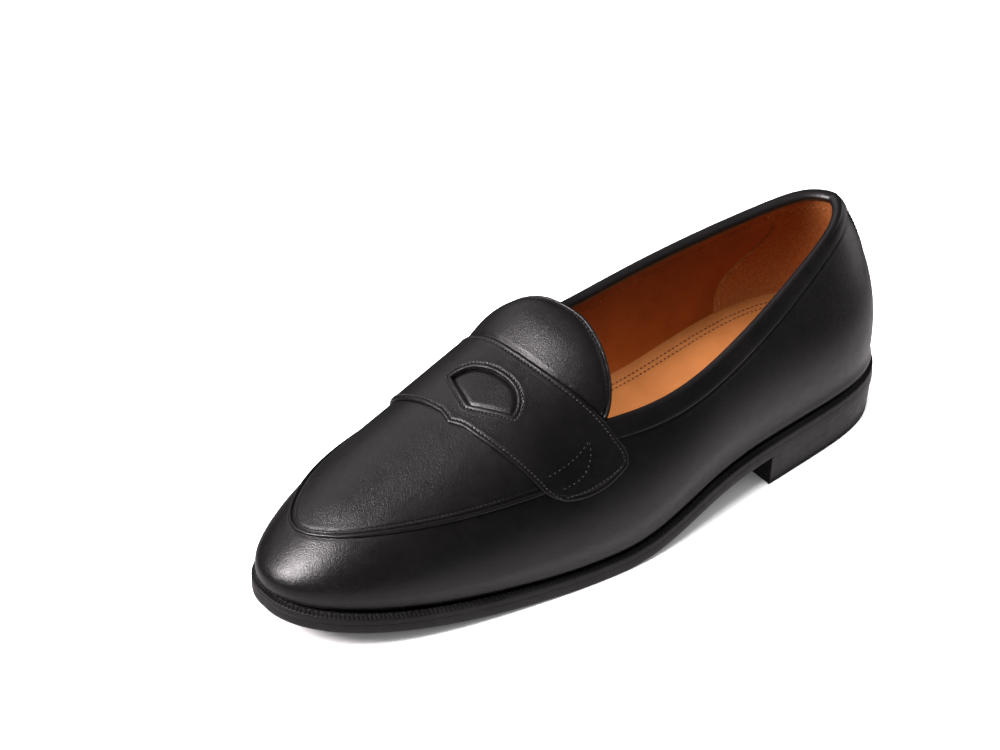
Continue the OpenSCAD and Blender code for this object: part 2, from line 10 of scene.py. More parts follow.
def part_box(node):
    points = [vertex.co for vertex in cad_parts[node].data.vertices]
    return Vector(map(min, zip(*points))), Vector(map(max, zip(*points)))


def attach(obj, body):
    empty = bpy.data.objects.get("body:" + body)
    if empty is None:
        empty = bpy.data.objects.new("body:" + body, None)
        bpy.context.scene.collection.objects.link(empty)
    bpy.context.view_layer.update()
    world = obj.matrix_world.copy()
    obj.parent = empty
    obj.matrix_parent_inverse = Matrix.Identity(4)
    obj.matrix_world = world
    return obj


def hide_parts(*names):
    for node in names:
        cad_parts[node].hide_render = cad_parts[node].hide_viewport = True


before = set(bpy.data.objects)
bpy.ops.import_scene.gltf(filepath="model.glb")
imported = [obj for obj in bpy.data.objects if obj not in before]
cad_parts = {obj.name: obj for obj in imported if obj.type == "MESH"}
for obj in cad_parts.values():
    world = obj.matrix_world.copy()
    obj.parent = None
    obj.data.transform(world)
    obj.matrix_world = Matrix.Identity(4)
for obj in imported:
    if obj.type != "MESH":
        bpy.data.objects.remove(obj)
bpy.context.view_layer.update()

# ---------------------------------------------------------------- the last
# Millimetres; x runs from the heel back, y to the outer side, z up from the
# floor. A place on the last is q (0 heel back, 1 toe tip), a side s (1 outer,
# -1 inner) and th (-30 feather edge, 0 widest level, 90 crest), as in the CAD
# model. The tables are evenly spaced control values for curve(), heel to toe.
LEN = 296.0
LAT = [63.8, 63.2, 49, 45.8, 54.7, 52.7, 54.1, 57.3, 59.7]  # fullness of the outline, outer side
MED = [63.8, 59.3, 46, 40.6, 39.8, 45.3, 53.2, 53, 59.7]  # the same on the inner side
ARCH = [1, 1, 1.018, 0.98, -0.074, 0, 0, 0, 0]  # underside of the sole, in heel heights
SPRING = [0, 0, 0, 0, 0, 0, 0.16, 0.53, 1]  # lift of the forepart, in toe springs
CREST = [118, 114, 111.2, 107.5, 99.5, 84.5, 66.8, 51.7, 36.2]  # height of the crest
TOPLINE = [1, 0.955, 0.851, 0.76, 0.688, 0.698]  # collar's top, in back heights
BAND = [4.5, 4, 4.2, 6.6, 7.2, 6.2]  # width of the collar band
INSET = [0.9, 2.6, 4, 4, 3.7]  # feather edge, in from the outline
REACH = [1.7, 3.1, 4.4, 3.6, 7.7, 4.5]  # welt's edge, out from the feather edge
BELLY = [19.1, 21.5, 16.6, 6.8, 6]  # widest level, above the feather edge
LEAN = [0.2, -1.2, -6.7, 1.5, 2.1]  # y of the crest line
FULL_N = [1.41, 0.56, 2.46, 2, 1.97]  # exponents of the section, across
FULL_M = [1.92, 2.08, 2.06, 2.08, 2.17]  # and upwards
APRON_LAT = [21.5, 26.9, 36.5, 53.6, 60.6, 58.7]  # th of the apron's seam, outer side
APRON_MED = [21, 26.2, 34, 48.4, 55.4, 58.5]  # and inner side
STRAP_FRONT = [206, 215.5, 218.6, 215.4, 212.6, 202.7, 192]  # x of the strap's edges, from the
STRAP_REAR = [171.5, 179.5, 182.6, 181.5, 177.6, 165.6, 156.5]  # inner end over to the outer end
PAD = [13.2, 13.7, 11.5, 4.6, -0.7, 0, 0, 0, 0, 0, 0, 0, 0]  # height of the heel pad
HEEL_H, TOE_SPRING, BACK_H = 14.0, 10.8, 94.5
SOLE_T, WELT_T, TOPLIFT_T = 4.3, 3.0, 5.0
WELT_TOP = SOLE_T + WELT_T
SKIN_T, STIFF_T, LINING_T, STRAP_T, TONGUE_LOFT = 1.3, 0.8, 0.9, 1.4, 2.4
INNER = SKIN_T + STIFF_T + LINING_T
SOCK_TOP = WELT_TOP + 0.9 + 1.2
STRAP_REACH = 72.5
THROAT_Q = 0.584
MM_PER_DEGREE = 0.62  # over the crest, about


def mix(a, b, t):
    return a + (b - a) * t


def curve(c, u):
    """Uniform cubic B-spline through the table c, u from 0 to 1."""
    c = np.asarray(c, float)
    n = len(c) - 1
    ext = np.concatenate([[2 * c[0] - c[1]], c, [2 * c[-1] - c[-2]]])
    t = np.clip(np.asarray(u, float), 0, 1) * n
    i = np.minimum(t.astype(int), n - 1)
    f = t - i
    return ((1 - f) ** 3 * ext[i] + (3 * f**3 - 6 * f**2 + 4) * ext[i + 1]
            + (-3 * f**3 + 3 * f**2 + 3 * f + 1) * ext[i + 2] + f**3 * ext[i + 3]) / 6


def ease(v, top, w):
    """v, levelling off at top within w on either side of it."""
    return np.where(v < top - w, v, np.where(v > top + w, top, v - (v - top + w) ** 2 / (4 * w)))


def x_of(q):
    return LEN * (1 - np.cos(np.pi * np.asarray(q, float))) / 2


def q_of(x):
    return np.arccos(np.clip(1 - 2 * np.asarray(x, float) / LEN, -1, 1)) / np.pi


def plan(q, s):
    """The last's outline seen from above."""
    w = np.where(np.asarray(s) > 0, curve(LAT, q), curve(MED, q))
    return np.stack(np.broadcast_arrays(x_of(q), s * np.sin(np.pi * q) * w), -1)


def unit(v):
    return v / np.maximum(np.linalg.norm(v, axis=-1, keepdims=True), 1e-12)


def out(q, s):
    """Outward normal of the outline."""
    q, s = np.broadcast_arrays(np.asarray(q, float), np.asarray(s, float))
    t = plan(np.minimum(q + 5e-4, 1), s) - plan(np.maximum(q - 5e-4, 0), s)
    n = unit(np.stack([-t[..., 1] * s, t[..., 0] * s], -1))
    n = np.where((q <= 0)[..., None], np.array([-1.0, 0]), n)
    return np.where((q >= 1)[..., None], np.array([1.0, 0]), n)


def edge(q, s, d):
    """The outline moved outwards by d."""
    return plan(q, s) + out(q, s) * np.asarray(d, float)[..., None]


def z_under(x):
    return np.maximum(0, HEEL_H * curve(ARCH, x / LEN) + TOE_SPRING * curve(SPRING, x / LEN))


def z_feather(x):
    return z_under(x) + WELT_TOP


def z_crest(x):
    return curve(CREST, x / LEN)


def z_topline(x):
    return BACK_H * curve(TOPLINE, x / (0.56 * LEN))


def last(q, s, th):
    """A point on the last's surface."""
    q, s, th = np.broadcast_arrays(np.asarray(q, float), np.asarray(s, float), np.asarray(th, float))
    t = np.radians(np.clip(th, 0, 90))
    h = np.clip(-th / 30, 0, 1)
    ax = -ease(-ease(x_of(q), 0.884 * LEN, 22), -0.12 * LEN, 18)
    a = np.stack([ax, curve(LEAN, ax / LEN)], -1)
    c = np.maximum(np.cos(t), 0) ** (2 / curve(FULL_N, q))
    c = np.where(th >= 90, 0, c)
    r = np.sin(t) ** (2 / curve(FULL_M, q))
    p = a + (plan(q, s) - a) * c[..., None] - out(q, s) * (curve(INSET, q) * h**2)[..., None]
    zf = z_feather(x_of(q))
    zw = zf + curve(BELLY, q)
    z = np.where(th >= 0, zw + (z_crest(p[..., 0]) - zw) * r, zw - (zw - zf) * h)
    return np.concatenate([p, z[..., None]], -1)


def climb(q, s, th):
    """Direction up the last's wall, towards the crest."""
    return unit(last(q, s, np.minimum(th + 1, 90)) - last(q, s, np.maximum(th - 1, -30)))


def normal(q, s, th):
    """Outward normal of the last's surface."""
    q, s, th = np.broadcast_arrays(np.asarray(q, float), np.asarray(s, float), np.asarray(th, float))
    t = last(q, s, np.minimum(th + 1, 90)) - last(q, s, np.maximum(th - 1, -30))
    e = last(np.minimum(q + 5e-4, 1), s, th) - last(np.maximum(q - 5e-4, 0), s, th)
    n = unit(-s[..., None] * np.cross(e, t))
    zero = np.zeros_like(t[..., 0])
    heel = unit(np.stack([-t[..., 2], zero, t[..., 0]], -1))
    toe = unit(np.stack([t[..., 2], zero, -t[..., 0]], -1))
    n = np.where((q <= 5e-4)[..., None], heel, n)
    n = np.where((q >= 0.9995)[..., None], toe, n)
    x = last(q, s, 90.0)[..., 0]
    top = unit(np.stack([z_crest(x - 1) - z_crest(x + 1), zero, zero + 2], -1))
    return np.where((th >= 89.9)[..., None], top, n)


def skin(q, s, th, d, up=0.0):
    """A point d off the last's surface, moved up the wall by up."""
    d, up = np.asarray(d, float), np.asarray(up, float)
    p = last(q, s, th) + normal(q, s, th) * d[..., None]
    return p + climb(q, s, th) * up[..., None] if np.any(up != 0) else p


def over_crest(x, a, d=0.0):
    """The same by x and the angle a from the crest, positive on the outer side."""
    a = np.asarray(a, float)
    return skin(q_of(x), side_of(a), 90 - np.abs(a), d + 0 * a)


def side_of(a):
    return np.where(a < 0, -1.0, 1.0)


def th_at(q, s, z):
    """th at which the wall reaches the height z."""
    q, s, z = np.broadcast_arrays(np.asarray(q, float), np.asarray(s, float), np.asarray(z, float))
    zw = z_feather(x_of(q)) + curve(BELLY, q)
    g = np.full(q.shape, 40.0)
    for _ in range(7):
        top = z_crest(last(q, s, g)[..., 0])
        g = np.degrees(np.arcsin(np.clip((z - zw) / (top - zw), 0, 1) ** (curve(FULL_M, q) / 2)))
    return g


def th_top(q, s):
    """th of the collar's top edge."""
    return th_at(q, s, z_topline(x_of(q)))


def th_collar(q, s):
    """th of the collar band's lower edge."""
    return th_at(q, s, z_topline(x_of(q)) - curve(BAND, np.asarray(q) / 0.55))


def th_apron(q, s):
    """th of the apron's seam, in front of the heel half."""
    u = (np.asarray(q, float) - 0.5) / 0.5
    return np.where(np.asarray(s) > 0, curve(APRON_LAT, u), curve(APRON_MED, u))


def per_degree(q, s, th):
    """Millimetres up the wall for one degree of th, just below th."""
    return np.linalg.norm(last(q, s, th) - last(q, s, th - 1), axis=-1)


def mouth_q(s):
    """q at which the mouth's edge runs under the strap."""
    return 0.527 if s > 0 else 0.558


def welt_edge(q):
    """Distance of the welt's edge from the outline."""
    return curve(REACH, q) - curve(INSET, q)


# The shoe's plan centre is at the frame's origin, as in the CAD model.
rim_q = np.linspace(0, 1, 241)
rim = np.concatenate([edge(rim_q, s, np.maximum(0, welt_edge(rim_q))) for s in (-1.0, 1.0)])
cad_lo, cad_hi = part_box("outsole")
SHIFT = np.array([(cad_lo[k] + cad_hi[k]) * 500 - (rim[:, k].min() + rim[:, k].max()) / 2 for k in (0, 1)] + [0.0])


def metres(p):
    return (np.asarray(p, float) + SHIFT) / 1000


# ---------------------------------------------------------------- mesh tools
def quads(n, m, wrap_n=False, wrap_m=False):
    """Faces of an n by m grid of points, which may close on itself either way."""
    i, j = np.meshgrid(np.arange(n if wrap_n else n - 1), np.arange(m if wrap_m else m - 1), indexing="ij")
    i2, j2 = (i + 1) % n, (j + 1) % m
    return np.stack([i * m + j, i2 * m + j, i2 * m + j2, i * m + j2], -1).reshape(-1, 4)


def shell_faces(n, m):
    """Faces of a closed sheet between two n by m grids laid one after the other."""
    size = n * m
    rows, cols = np.arange(n - 1) * m, np.arange(m - 1)
    faces = [quads(n, m)[:, ::-1], size + quads(n, m)]
    rims = [(rows + j, rows + m + j) for j in (0, m - 1)] + [(i * m + cols, i * m + cols + 1) for i in (0, n - 1)]
    for a, b in rims:
        faces.append(np.stack([a, b, size + b, size + a], -1))
    return np.concatenate(faces)


def solid(name, pts, faces, mats, node, weld=1e-5, mat_index=None, recalc=True):
    """A smooth mesh piece on the shoe, from points in last coordinates, in place of a CAD node."""
    me = bpy.data.meshes.new(name)
    pts = metres(pts)
    me.vertices.add(len(pts))
    me.vertices.foreach_set("co", pts.astype(np.float32).ravel())
    faces = faces if isinstance(faces, list) else [faces]
    me.loops.add(sum(f.size for f in faces))
    me.loops.foreach_set("vertex_index", np.concatenate([f.ravel() for f in faces]).astype(np.int32))
    sizes = np.concatenate([np.full(len(f), f.shape[1]) for f in faces])
    me.polygons.add(len(sizes))
    me.polygons.foreach_set("loop_start", np.concatenate([[0], np.cumsum(sizes)[:-1]]).astype(np.int32))
    if mat_index is not None:
        me.polygons.foreach_set("material_index", mat_index.astype(np.int32))
    me.update(calc_edges=True)
    me.validate()
    if weld or recalc:
        bm = bmesh.new()
        bm.from_mesh(me)
        if weld:
            bmesh.ops.remove_doubles(bm, verts=bm.verts, dist=weld)
        if recalc:
            bmesh.ops.recalc_face_normals(bm, faces=bm.faces)
        bm.to_mesh(me)
        bm.free()
    me.polygons.foreach_set("use_smooth", np.ones(len(me.polygons), bool))
    for m in mats if isinstance(mats, list) else [mats]:
        me.materials.append(m)
    ob = bpy.data.objects.new(name, me)
    bpy.context.scene.collection.objects.link(ob)
    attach(ob, "root")
    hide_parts(node)
    return ob


def shell(name, outer, inner, mat, node):
    """A closed sheet between two grids of points."""
    pts = np.concatenate([outer.reshape(-1, 3), inner.reshape(-1, 3)])
    return solid(name, pts, shell_faces(*outer.shape[:2]), mat, node)


def nearest(pts, line):
    """Distance from each point to a densely sampled line."""
    tree = KDTree(len(line))
    for i, p in enumerate(line):
        tree.insert(p, i)
    tree.balance()
    return np.array([tree.find(p)[2] for p in pts.reshape(-1, 3)]).reshape(pts.shape[:-1])


def wave(pts, size, seed):
    """Smooth noise over points, for the slight unevenness of lasted leather."""
    off = Vector((seed * 17.3, seed * 5.1, seed * 9.7))
    flat = pts.reshape(-1, 3) / size
    return np.array([noise.noise(Vector(p) + off) for p in flat]).reshape(pts.shape[:-1])


def bump(d, at, width):
    return np.exp(-(((d - at) / width) ** 2))


def quarter_round(t):
    """Rise of a rounded edge from 0 to 1."""
    return np.sqrt(np.clip(1 - (1 - np.clip(t, 0, 1)) ** 2, 0, 1))


def resample(p, n):
    """n points evenly along a line, and the line's length."""
    s = np.concatenate([[0], np.cumsum(np.linalg.norm(np.diff(p, axis=0), axis=1))])
    t = np.linspace(0, s[-1], n)
    return np.stack([np.interp(t, s, p[:, k]) for k in range(p.shape[1])], -1), s[-1]


def thread(name, node, lines, pitch, mat, length=0.72, r=0.3, rise=0.12, tilt=0.0):
    """Rows of sewn stitches: each line is (points, normals) on the leather. A
    stitch takes a share, length, of the pitch, and its ends dip into the leather."""
    sides, rings, samples = 8, 7, 4000
    u = np.linspace(-1, 1, rings)
    rad = np.repeat(np.sqrt(np.maximum(0, 1 - np.abs(u) ** 3.2)) * 0.94 + 0.06, sides)
    ang = np.tile(np.arange(sides) * 2 * np.pi / sides, rings)
    along = np.repeat(u, sides)[None, :, None]
    across, height = (np.cos(ang) * rad)[None, :, None], (np.sin(ang) * rad)[None, :, None]
    wall = quads(rings, sides, wrap_m=True)[:, ::-1]
    caps = np.array([np.arange(sides)[::-1], (rings - 1) * sides + np.arange(sides)])
    pts, walls, ends = [], [], []
    base = 0
    for p, nrm in lines:
        both, total = resample(np.concatenate([p, nrm], 1), samples)
        count = max(2, int(round(total / pitch)))
        mid = (np.arange(count) + 0.5) / count * (samples - 1)
        lo = np.clip(mid - 2, 0, samples - 1).astype(int)
        hi = np.clip(mid + 2, 0, samples - 1).astype(int)
        c = both[mid.astype(int)]
        t = unit(both[hi, :3] - both[lo, :3])
        n = unit(c[:, 3:] - t * np.sum(c[:, 3:] * t, 1, keepdims=True))
        b = np.cross(n, t)
        t2 = t * math.cos(tilt) + b * math.sin(tilt)
        b2 = b * math.cos(tilt) - t * math.sin(tilt)
        half = total / count * length / 2
        lift = height * r * 0.85 + rise - 0.5 * r * np.abs(along) ** 2.5
        body = c[:, None, :3] + t2[:, None] * (along * half) + b2[:, None] * (across * r) + n[:, None] * lift
        pts.append(body.reshape(-1, 3))
        first = base + np.arange(count)[:, None, None] * (sides * rings)
        walls.append((wall[None] + first).reshape(-1, 4))
        ends.append((caps[None] + first).reshape(-1, sides))
        base += count * sides * rings
    faces = [np.concatenate(walls), np.concatenate(ends)]
    return solid(name, np.concatenate(pts), faces, mat, node, weld=0, recalc=False)


# ---------------------------------------------------------------- materials
def material(name):
    """A new material with its tree, its Principled node, a node maker and object coordinates."""
    m = bpy.data.materials.new(name)
    m.use_nodes = True
    t = m.node_tree

    def node(kind, **inputs):
        n = t.nodes.new(kind)
        for key, v in inputs.items():
            n.inputs[key.replace("_", " ")].default_value = v
        return n

    return m, t.links.new, t.nodes["Principled BSDF"], node, node("ShaderNodeTexCoord").outputs["Object"]


def ramp(link, node, source, stops):
    """Colours, or single values, over a 0..1 source."""
    r = node("ShaderNodeValToRGB")
    for e, (pos, col) in zip(r.color_ramp.elements, stops):
        e.position = pos
        e.color = (*col, 1) if len(col) == 3 else (col[0], col[0], col[0], 1)
    link(source, r.inputs["Fac"])
    return r.outputs["Color"]


def leather(name, dark, light, rough, grain, creases, specular=0.5):
    """Tanned leather: pebbled grain, pores and faint creases over a slowly varying colour."""
    m, link, b, node, place = material(name)
    cloud = node("ShaderNodeTexNoise", Scale=38, Detail=4, Roughness=0.55)
    link(place, cloud.inputs["Vector"])
    link(ramp(link, node, cloud.outputs["Fac"], [(0.32, dark), (0.68, light)]), b.inputs["Base Color"])
    # grain: cells about 0.5 mm across, shifted about by finer noise
    shift = node("ShaderNodeTexNoise", Scale=900, Detail=2)
    link(place, shift.inputs["Vector"])
    warp = node("ShaderNodeMix")
    warp.data_type = "VECTOR"
    warp.inputs["Factor"].default_value = 0.0012
    link(place, warp.inputs[4])
    link(shift.outputs["Color"], warp.inputs[5])
    cell = node("ShaderNodeTexVoronoi", Scale=2200)
    cell.feature = "SMOOTH_F1"
    cell.inputs["Smoothness"].default_value = 0.45
    link(warp.outputs[1], cell.inputs["Vector"])
    fine = node("ShaderNodeTexNoise", Scale=5200, Detail=3, Roughness=0.6)
    link(place, fine.inputs["Vector"])
    broad = node("ShaderNodeTexNoise", Scale=260, Detail=4, Roughness=0.6)
    link(place, broad.inputs["Vector"])
    under = None
    for source, strength, distance in ((cell.outputs["Distance"], 0.30 * grain, 0.00012),
                                       (fine.outputs["Fac"], 0.16 * grain, 0.00006),
                                       (broad.outputs["Fac"], creases, 0.0004)):
        relief = node("ShaderNodeBump", Strength=strength, Distance=distance)
        relief.invert = under is None
        link(source, relief.inputs["Height"])
        if under:
            link(under, relief.inputs["Normal"])
        under = relief.outputs["Normal"]
    link(under, b.inputs["Normal"])
    shine = [(0.3, (rough - 0.05,)), (0.7, (rough + 0.05,))]
    link(ramp(link, node, broad.outputs["Fac"], shine), b.inputs["Roughness"])
    b.inputs["Specular IOR Level"].default_value = specular
    return m


def sueded(name, dark, light):
    """Brushed leather with a short nap."""
    m, link, b, node, place = material(name)
    nap = node("ShaderNodeTexNoise", Scale=2600, Detail=4, Roughness=0.7)
    link(place, nap.inputs["Vector"])
    patch = node("ShaderNodeTexNoise", Scale=900, Detail=5, Roughness=0.75)
    link(place, patch.inputs["Vector"])
    add = node("ShaderNodeMath")
    add.operation = "ADD"
    link(nap.outputs["Fac"], add.inputs[0])
    link(patch.outputs["Fac"], add.inputs[1])
    half = node("ShaderNodeMath")
    half.operation = "MULTIPLY"
    half.inputs[1].default_value = 0.5
    link(add.outputs[0], half.inputs[0])
    link(ramp(link, node, half.outputs[0], [(0.36, dark), (0.62, light)]), b.inputs["Base Color"])
    relief = node("ShaderNodeBump", Strength=0.5, Distance=0.0003)
    link(nap.outputs["Fac"], relief.inputs["Height"])
    link(relief.outputs["Normal"], b.inputs["Normal"])
    for key, v in {"Roughness": 0.95, "Sheen Weight": 0.25, "Sheen Roughness": 0.5, "Sheen Tint": (1, 0.42, 0.14, 1),
                   "Specular IOR Level": 0.1}.items():
        b.inputs[key].default_value = v
    return m


def fibrous(name, dark, light, rough, scale=300, strength=0.4, distance=0.0002, metal=0.0):
    """Board, rubber, thread, cork, cloth or brushed metal, by its colours and its noise."""
    m, link, b, node, place = material(name)
    coarse = node("ShaderNodeTexNoise", Scale=scale, Detail=5, Roughness=0.65)
    link(place, coarse.inputs["Vector"])
    link(ramp(link, node, coarse.outputs["Fac"], [(0.35, dark), (0.65, light)]), b.inputs["Base Color"])
    fine = node("ShaderNodeTexNoise", Scale=scale * 9, Detail=3, Roughness=0.6)
    link(place, fine.inputs["Vector"])
    relief = node("ShaderNodeBump", Strength=strength, Distance=distance)
    link(fine.outputs["Fac"], relief.inputs["Height"])
    link(relief.outputs["Normal"], b.inputs["Normal"])
    shine = [(0.3, (max(rough - 0.06, 0.02),)), (0.7, (rough + 0.06,))]
    link(ramp(link, node, coarse.outputs["Fac"], shine), b.inputs["Roughness"])
    b.inputs["Metallic"].default_value = metal
    return m


CALF = leather("calf_black", (0.0017, 0.0015, 0.0016), (0.0036, 0.0031, 0.0033), 0.33, 1.7, 0.045)
GRAINED = leather("calf_grained", (0.0018, 0.0016, 0.0017), (0.0040, 0.0035, 0.0037), 0.36, 2.5, 0.06)
LINING = leather("lining_tan", (0.205, 0.0410, 0.0062), (0.290, 0.067, 0.0130), 0.48, 0.6, 0.2, specular=0.28)
SOCK = leather("sock_tan", (0.190, 0.063, 0.0165), (0.260, 0.094, 0.028), 0.5, 0.5, 0.2)
SUEDE = sueded("grip_suede", (0.170, 0.047, 0.011), (0.380, 0.132, 0.038))
EDGE = leather("sole_edge", (0.0030, 0.0027, 0.0027), (0.0070, 0.0064, 0.0064), 0.47, 0.35, 0.3, specular=0.3)
WELTED = leather("welt_black", (0.005, 0.0047, 0.0047), (0.009, 0.0085, 0.0085), 0.42, 0.4, 0.3)
RUBBER = fibrous("lift_rubber", (0.003, 0.0029, 0.0029), (0.006, 0.0058, 0.0058), 0.6, 500, 0.4)
THREAD = fibrous("thread_black", (0.008, 0.0075, 0.0075), (0.024, 0.022, 0.022), 0.42, 2500, 0.5, 0.0001)
# black thread made darker than thread_black: painted shade for the stitches that sit in grooves, along the apron's
# seam and under the collar band
SHADED_THREAD = fibrous("thread_black_painted_shade", (0.006, 0.0055, 0.0055), (0.016, 0.015, 0.015), 0.45, 2500, 0.5, 0.0001)
TAN_THREAD = fibrous("thread_tan", (0.30, 0.105, 0.032), (0.42, 0.165, 0.058), 0.6, 2500, 0.5, 0.0001)
DARK_TAN = fibrous("thread_dark_tan", (0.040, 0.0115, 0.0045), (0.075, 0.024, 0.009), 0.6, 2500, 0.5, 0.0001)
BOARD = fibrous("leatherboard", (0.42, 0.28, 0.15), (0.55, 0.38, 0.22), 0.8, 220)
CORK = fibrous("cork_ground", (0.25, 0.13, 0.06), (0.55, 0.34, 0.17), 0.9, 420, 0.8, 0.0004)
STEEL = fibrous("spring_steel", (0.42, 0.43, 0.45), (0.55, 0.56, 0.58), 0.35, 200, 0.2, 0.0001, 1.0)
BRASS = fibrous("nail_brass", (0.55, 0.36, 0.12), (0.70, 0.48, 0.18), 0.35, 400, 0.2, 0.0001, 1.0)
STIFF = fibrous("stiffener", (0.20, 0.17, 0.13), (0.30, 0.26, 0.20), 0.85, 260)
DRILL = fibrous("drill_cloth", (0.55, 0.50, 0.40), (0.70, 0.64, 0.52), 0.9, 900)
FOAM = fibrous("tongue_foam", (0.62, 0.56, 0.44), (0.75, 0.68, 0.55), 0.95, 700, 0.7)

# ---------------------------------------------------------------- lines and grids on the last
SIDES = (1.0, -1.0)
FLAT = np.array([1, MM_PER_DEGREE])  # turns x and the angle over the crest into millimetres


def both_ways(n):
    """Columns of |t| and the side, t going from -1 on the outer side to 1 on the inner."""
    t = np.linspace(-1, 1, n)[:, None]
    return np.abs(t), np.where(t <= 0, 1.0, -1.0)


def row(q, s, th, d, facing=1):
    """A line of stitches d off the last: its points and its normals."""
    return skin(q, s, th, d + 0 * q), facing * normal(q, s, th)


def distance(a, b):
    return np.linalg.norm(a - b, axis=-1)


# ---------------------------------------------------------------- the upper
def th_skirt(q, s):
    """th of the side wall's top: below the collar, up to the throat, then along the apron."""
    m = np.where(s > 0, mouth_q(1), mouth_q(-1))
    back = th_top(np.minimum(q, m), s) - 1
    rising = mix(th_top(m, s) - 1, th_apron(THROAT_Q, s), np.clip((q - m) / (THROAT_Q - m), 0, 1))
    return np.where(q < m, back, np.where(q < THROAT_Q, rising, th_apron(q, s)))


# side wall from the back seam round the toe, with its rounded foot and the groove under the collar
t, s = both_ways(761)
q = 1 - t
th = mix(-30.0, th_skirt(q, s), np.linspace(0, 1, 84)[None])
base, nrm = last(q, s, th), normal(q, s, th)
groove = th_collar(q, s)
below = distance(last(q, s, groove), base) * np.sign(groove - th)
open_part = np.clip((0.545 - q) / 0.02, 0, 1)
foot = distance(base, last(q, s, -30.0))
to_apron = distance(base, last(q, s, th_apron(q, s)))
d = 0.10 * wave(base, 34.0, 1) + 0.05 * wave(base, 11.0, 2)
d += open_part * (0.30 * bump(below, 1.2, 0.55) - 0.42 * bump(below, 0.0, 0.5))
d += -0.9 * np.exp(-foot / 0.8)
d += np.where(q > 0.6, -0.14 * bump(to_apron, 1.0, 0.5), 0)
d += 1.15 * bump(foot, 2.8, 2.8)
outer = base + nrm * d[..., None]
outer[:, 0] += nrm[:, 0] * -1.2 + np.array([0, 0, -0.6])
shell("upper_wall", outer, base - nrm * SKIN_T, CALF, "upper_skirt")

# back strip over the closing seam
STRIP_Q = 0.045
t, s = both_ways(41)
q = STRIP_Q * t
th = mix(-29.5, th_collar(q, s) + 1.0, np.linspace(0, 1, 90)[None])
rise = 0.85 * np.clip((1 - t) / 0.12, 0, 1) ** 0.5 - 0.12 * bump(t, 0.80, 0.07)
shell("back_strip", skin(q, s, th, rise + 0 * th), skin(q, s, th, -0.4 + 0 * th), CALF, "back_strip")
q, f = np.full(200, STRIP_Q * 0.80), np.linspace(0, 1, 200)
rows = [row(q, s, mix(-27, th_collar(q, s) - 1.5, f), 0.8) for s in SIDES]
thread("back_strip_thread", "back_strip_stitches", rows, 2.2, THREAD, r=0.25, rise=0.02)

# the strap's edges and its slot, as x against the angle over the crest
SLOT_A, SLOT_HALF = 10.6, 17.0


def strap_front(a):
    return curve(STRAP_FRONT, (a + 72) / 144) + 2 * np.maximum(0, 1 - np.abs(a - SLOT_A) / 8) ** 1.5


def strap_rear(a):
    return curve(STRAP_REAR, (a + 72) / 144)


def slot_mid(a):
    w = np.clip((np.abs(a - SLOT_A) - SLOT_HALF) / 30, 0, 1)
    return mix(199 - 0.19 * (a - SLOT_A), (strap_front(a) + strap_rear(a)) / 2, w)


def slot_front(a):
    p = np.clip((a - SLOT_A) / SLOT_HALF, -1, 1)
    return slot_mid(a) + 7 * (1 - np.abs(p) ** 1.15)


def slot_rear(a):
    p = np.clip((a - SLOT_A) / SLOT_HALF, -1, 1)
    return slot_mid(a) - 8.6 * (1 - np.abs(p) ** 2.6) ** 0.7


def slot_angles(n):
    """Angles across the slot, close together at its corners."""
    return SLOT_A - SLOT_HALF * np.cos(np.pi * np.linspace(0, 1, n))


# apron: a fold outside its stitch groove, and a hollow along the slot's rim
q = mix(THROAT_Q, 1.0, np.linspace(0, 1, 260))[:, None]
a = mix(th_apron(q, -1.0) - 90, 90 - th_apron(q, 1.0), np.linspace(0, 1, 170)[None])
s, th = side_of(a), 90 - np.abs(a)
base, nrm = last(q, s, th), normal(q, s, th)
seam_q = np.linspace(THROAT_Q - 0.02, 1, 700)
e = nearest(base, np.concatenate([last(seam_q, side, th_apron(seam_q, side)) for side in SIDES]))
d = 0.10 * wave(base, 30.0, 4) + 0.04 * wave(base, 9.0, 5)
d += -0.32 * bump(e, 0.85, 0.30) + 0.22 * bump(e, 1.5, 0.45) - 0.26 * bump(e, 2.2, 0.34) + 0.06 * bump(e, 3.6, 1.0)
rim_a = slot_angles(400)
to_slot = nearest(base, np.concatenate([over_crest(line(rim_a), rim_a) for line in (slot_front, slot_rear)]))
d += -0.85 * bump(to_slot, 0.0, 1.0)
shell("apron", base + nrm * d[..., None], base - nrm * SKIN_T, GRAINED, "apron")


def round_toe(line):
    """A line from the bead's start on the outer side round the toe to the inner side."""
    halves = []
    for s, start in ((1.0, 199.5), (-1.0, 213.0)):
        half = line(np.linspace(q_of(start) - 0.012, 1, 420), s)
        halves.append(half if s > 0 else tuple(x[::-1] for x in half))
    return tuple(np.concatenate([x, y[1:]]) for x, y in zip(*halves))


def on_seam(q, s):
    th = th_apron(q, s)
    return skin(q, s, th, 0.30 + 0 * q, -0.1 + 0 * q), normal(q, s, th)


def inside_seam(q, s):
    """A line on the apron, 2.2 mm from the seam."""
    th = th_apron(q, s)
    return row(q, s, th + 2.2 / distance(last(q, s, th + 1), last(q, s, th)), -0.2)


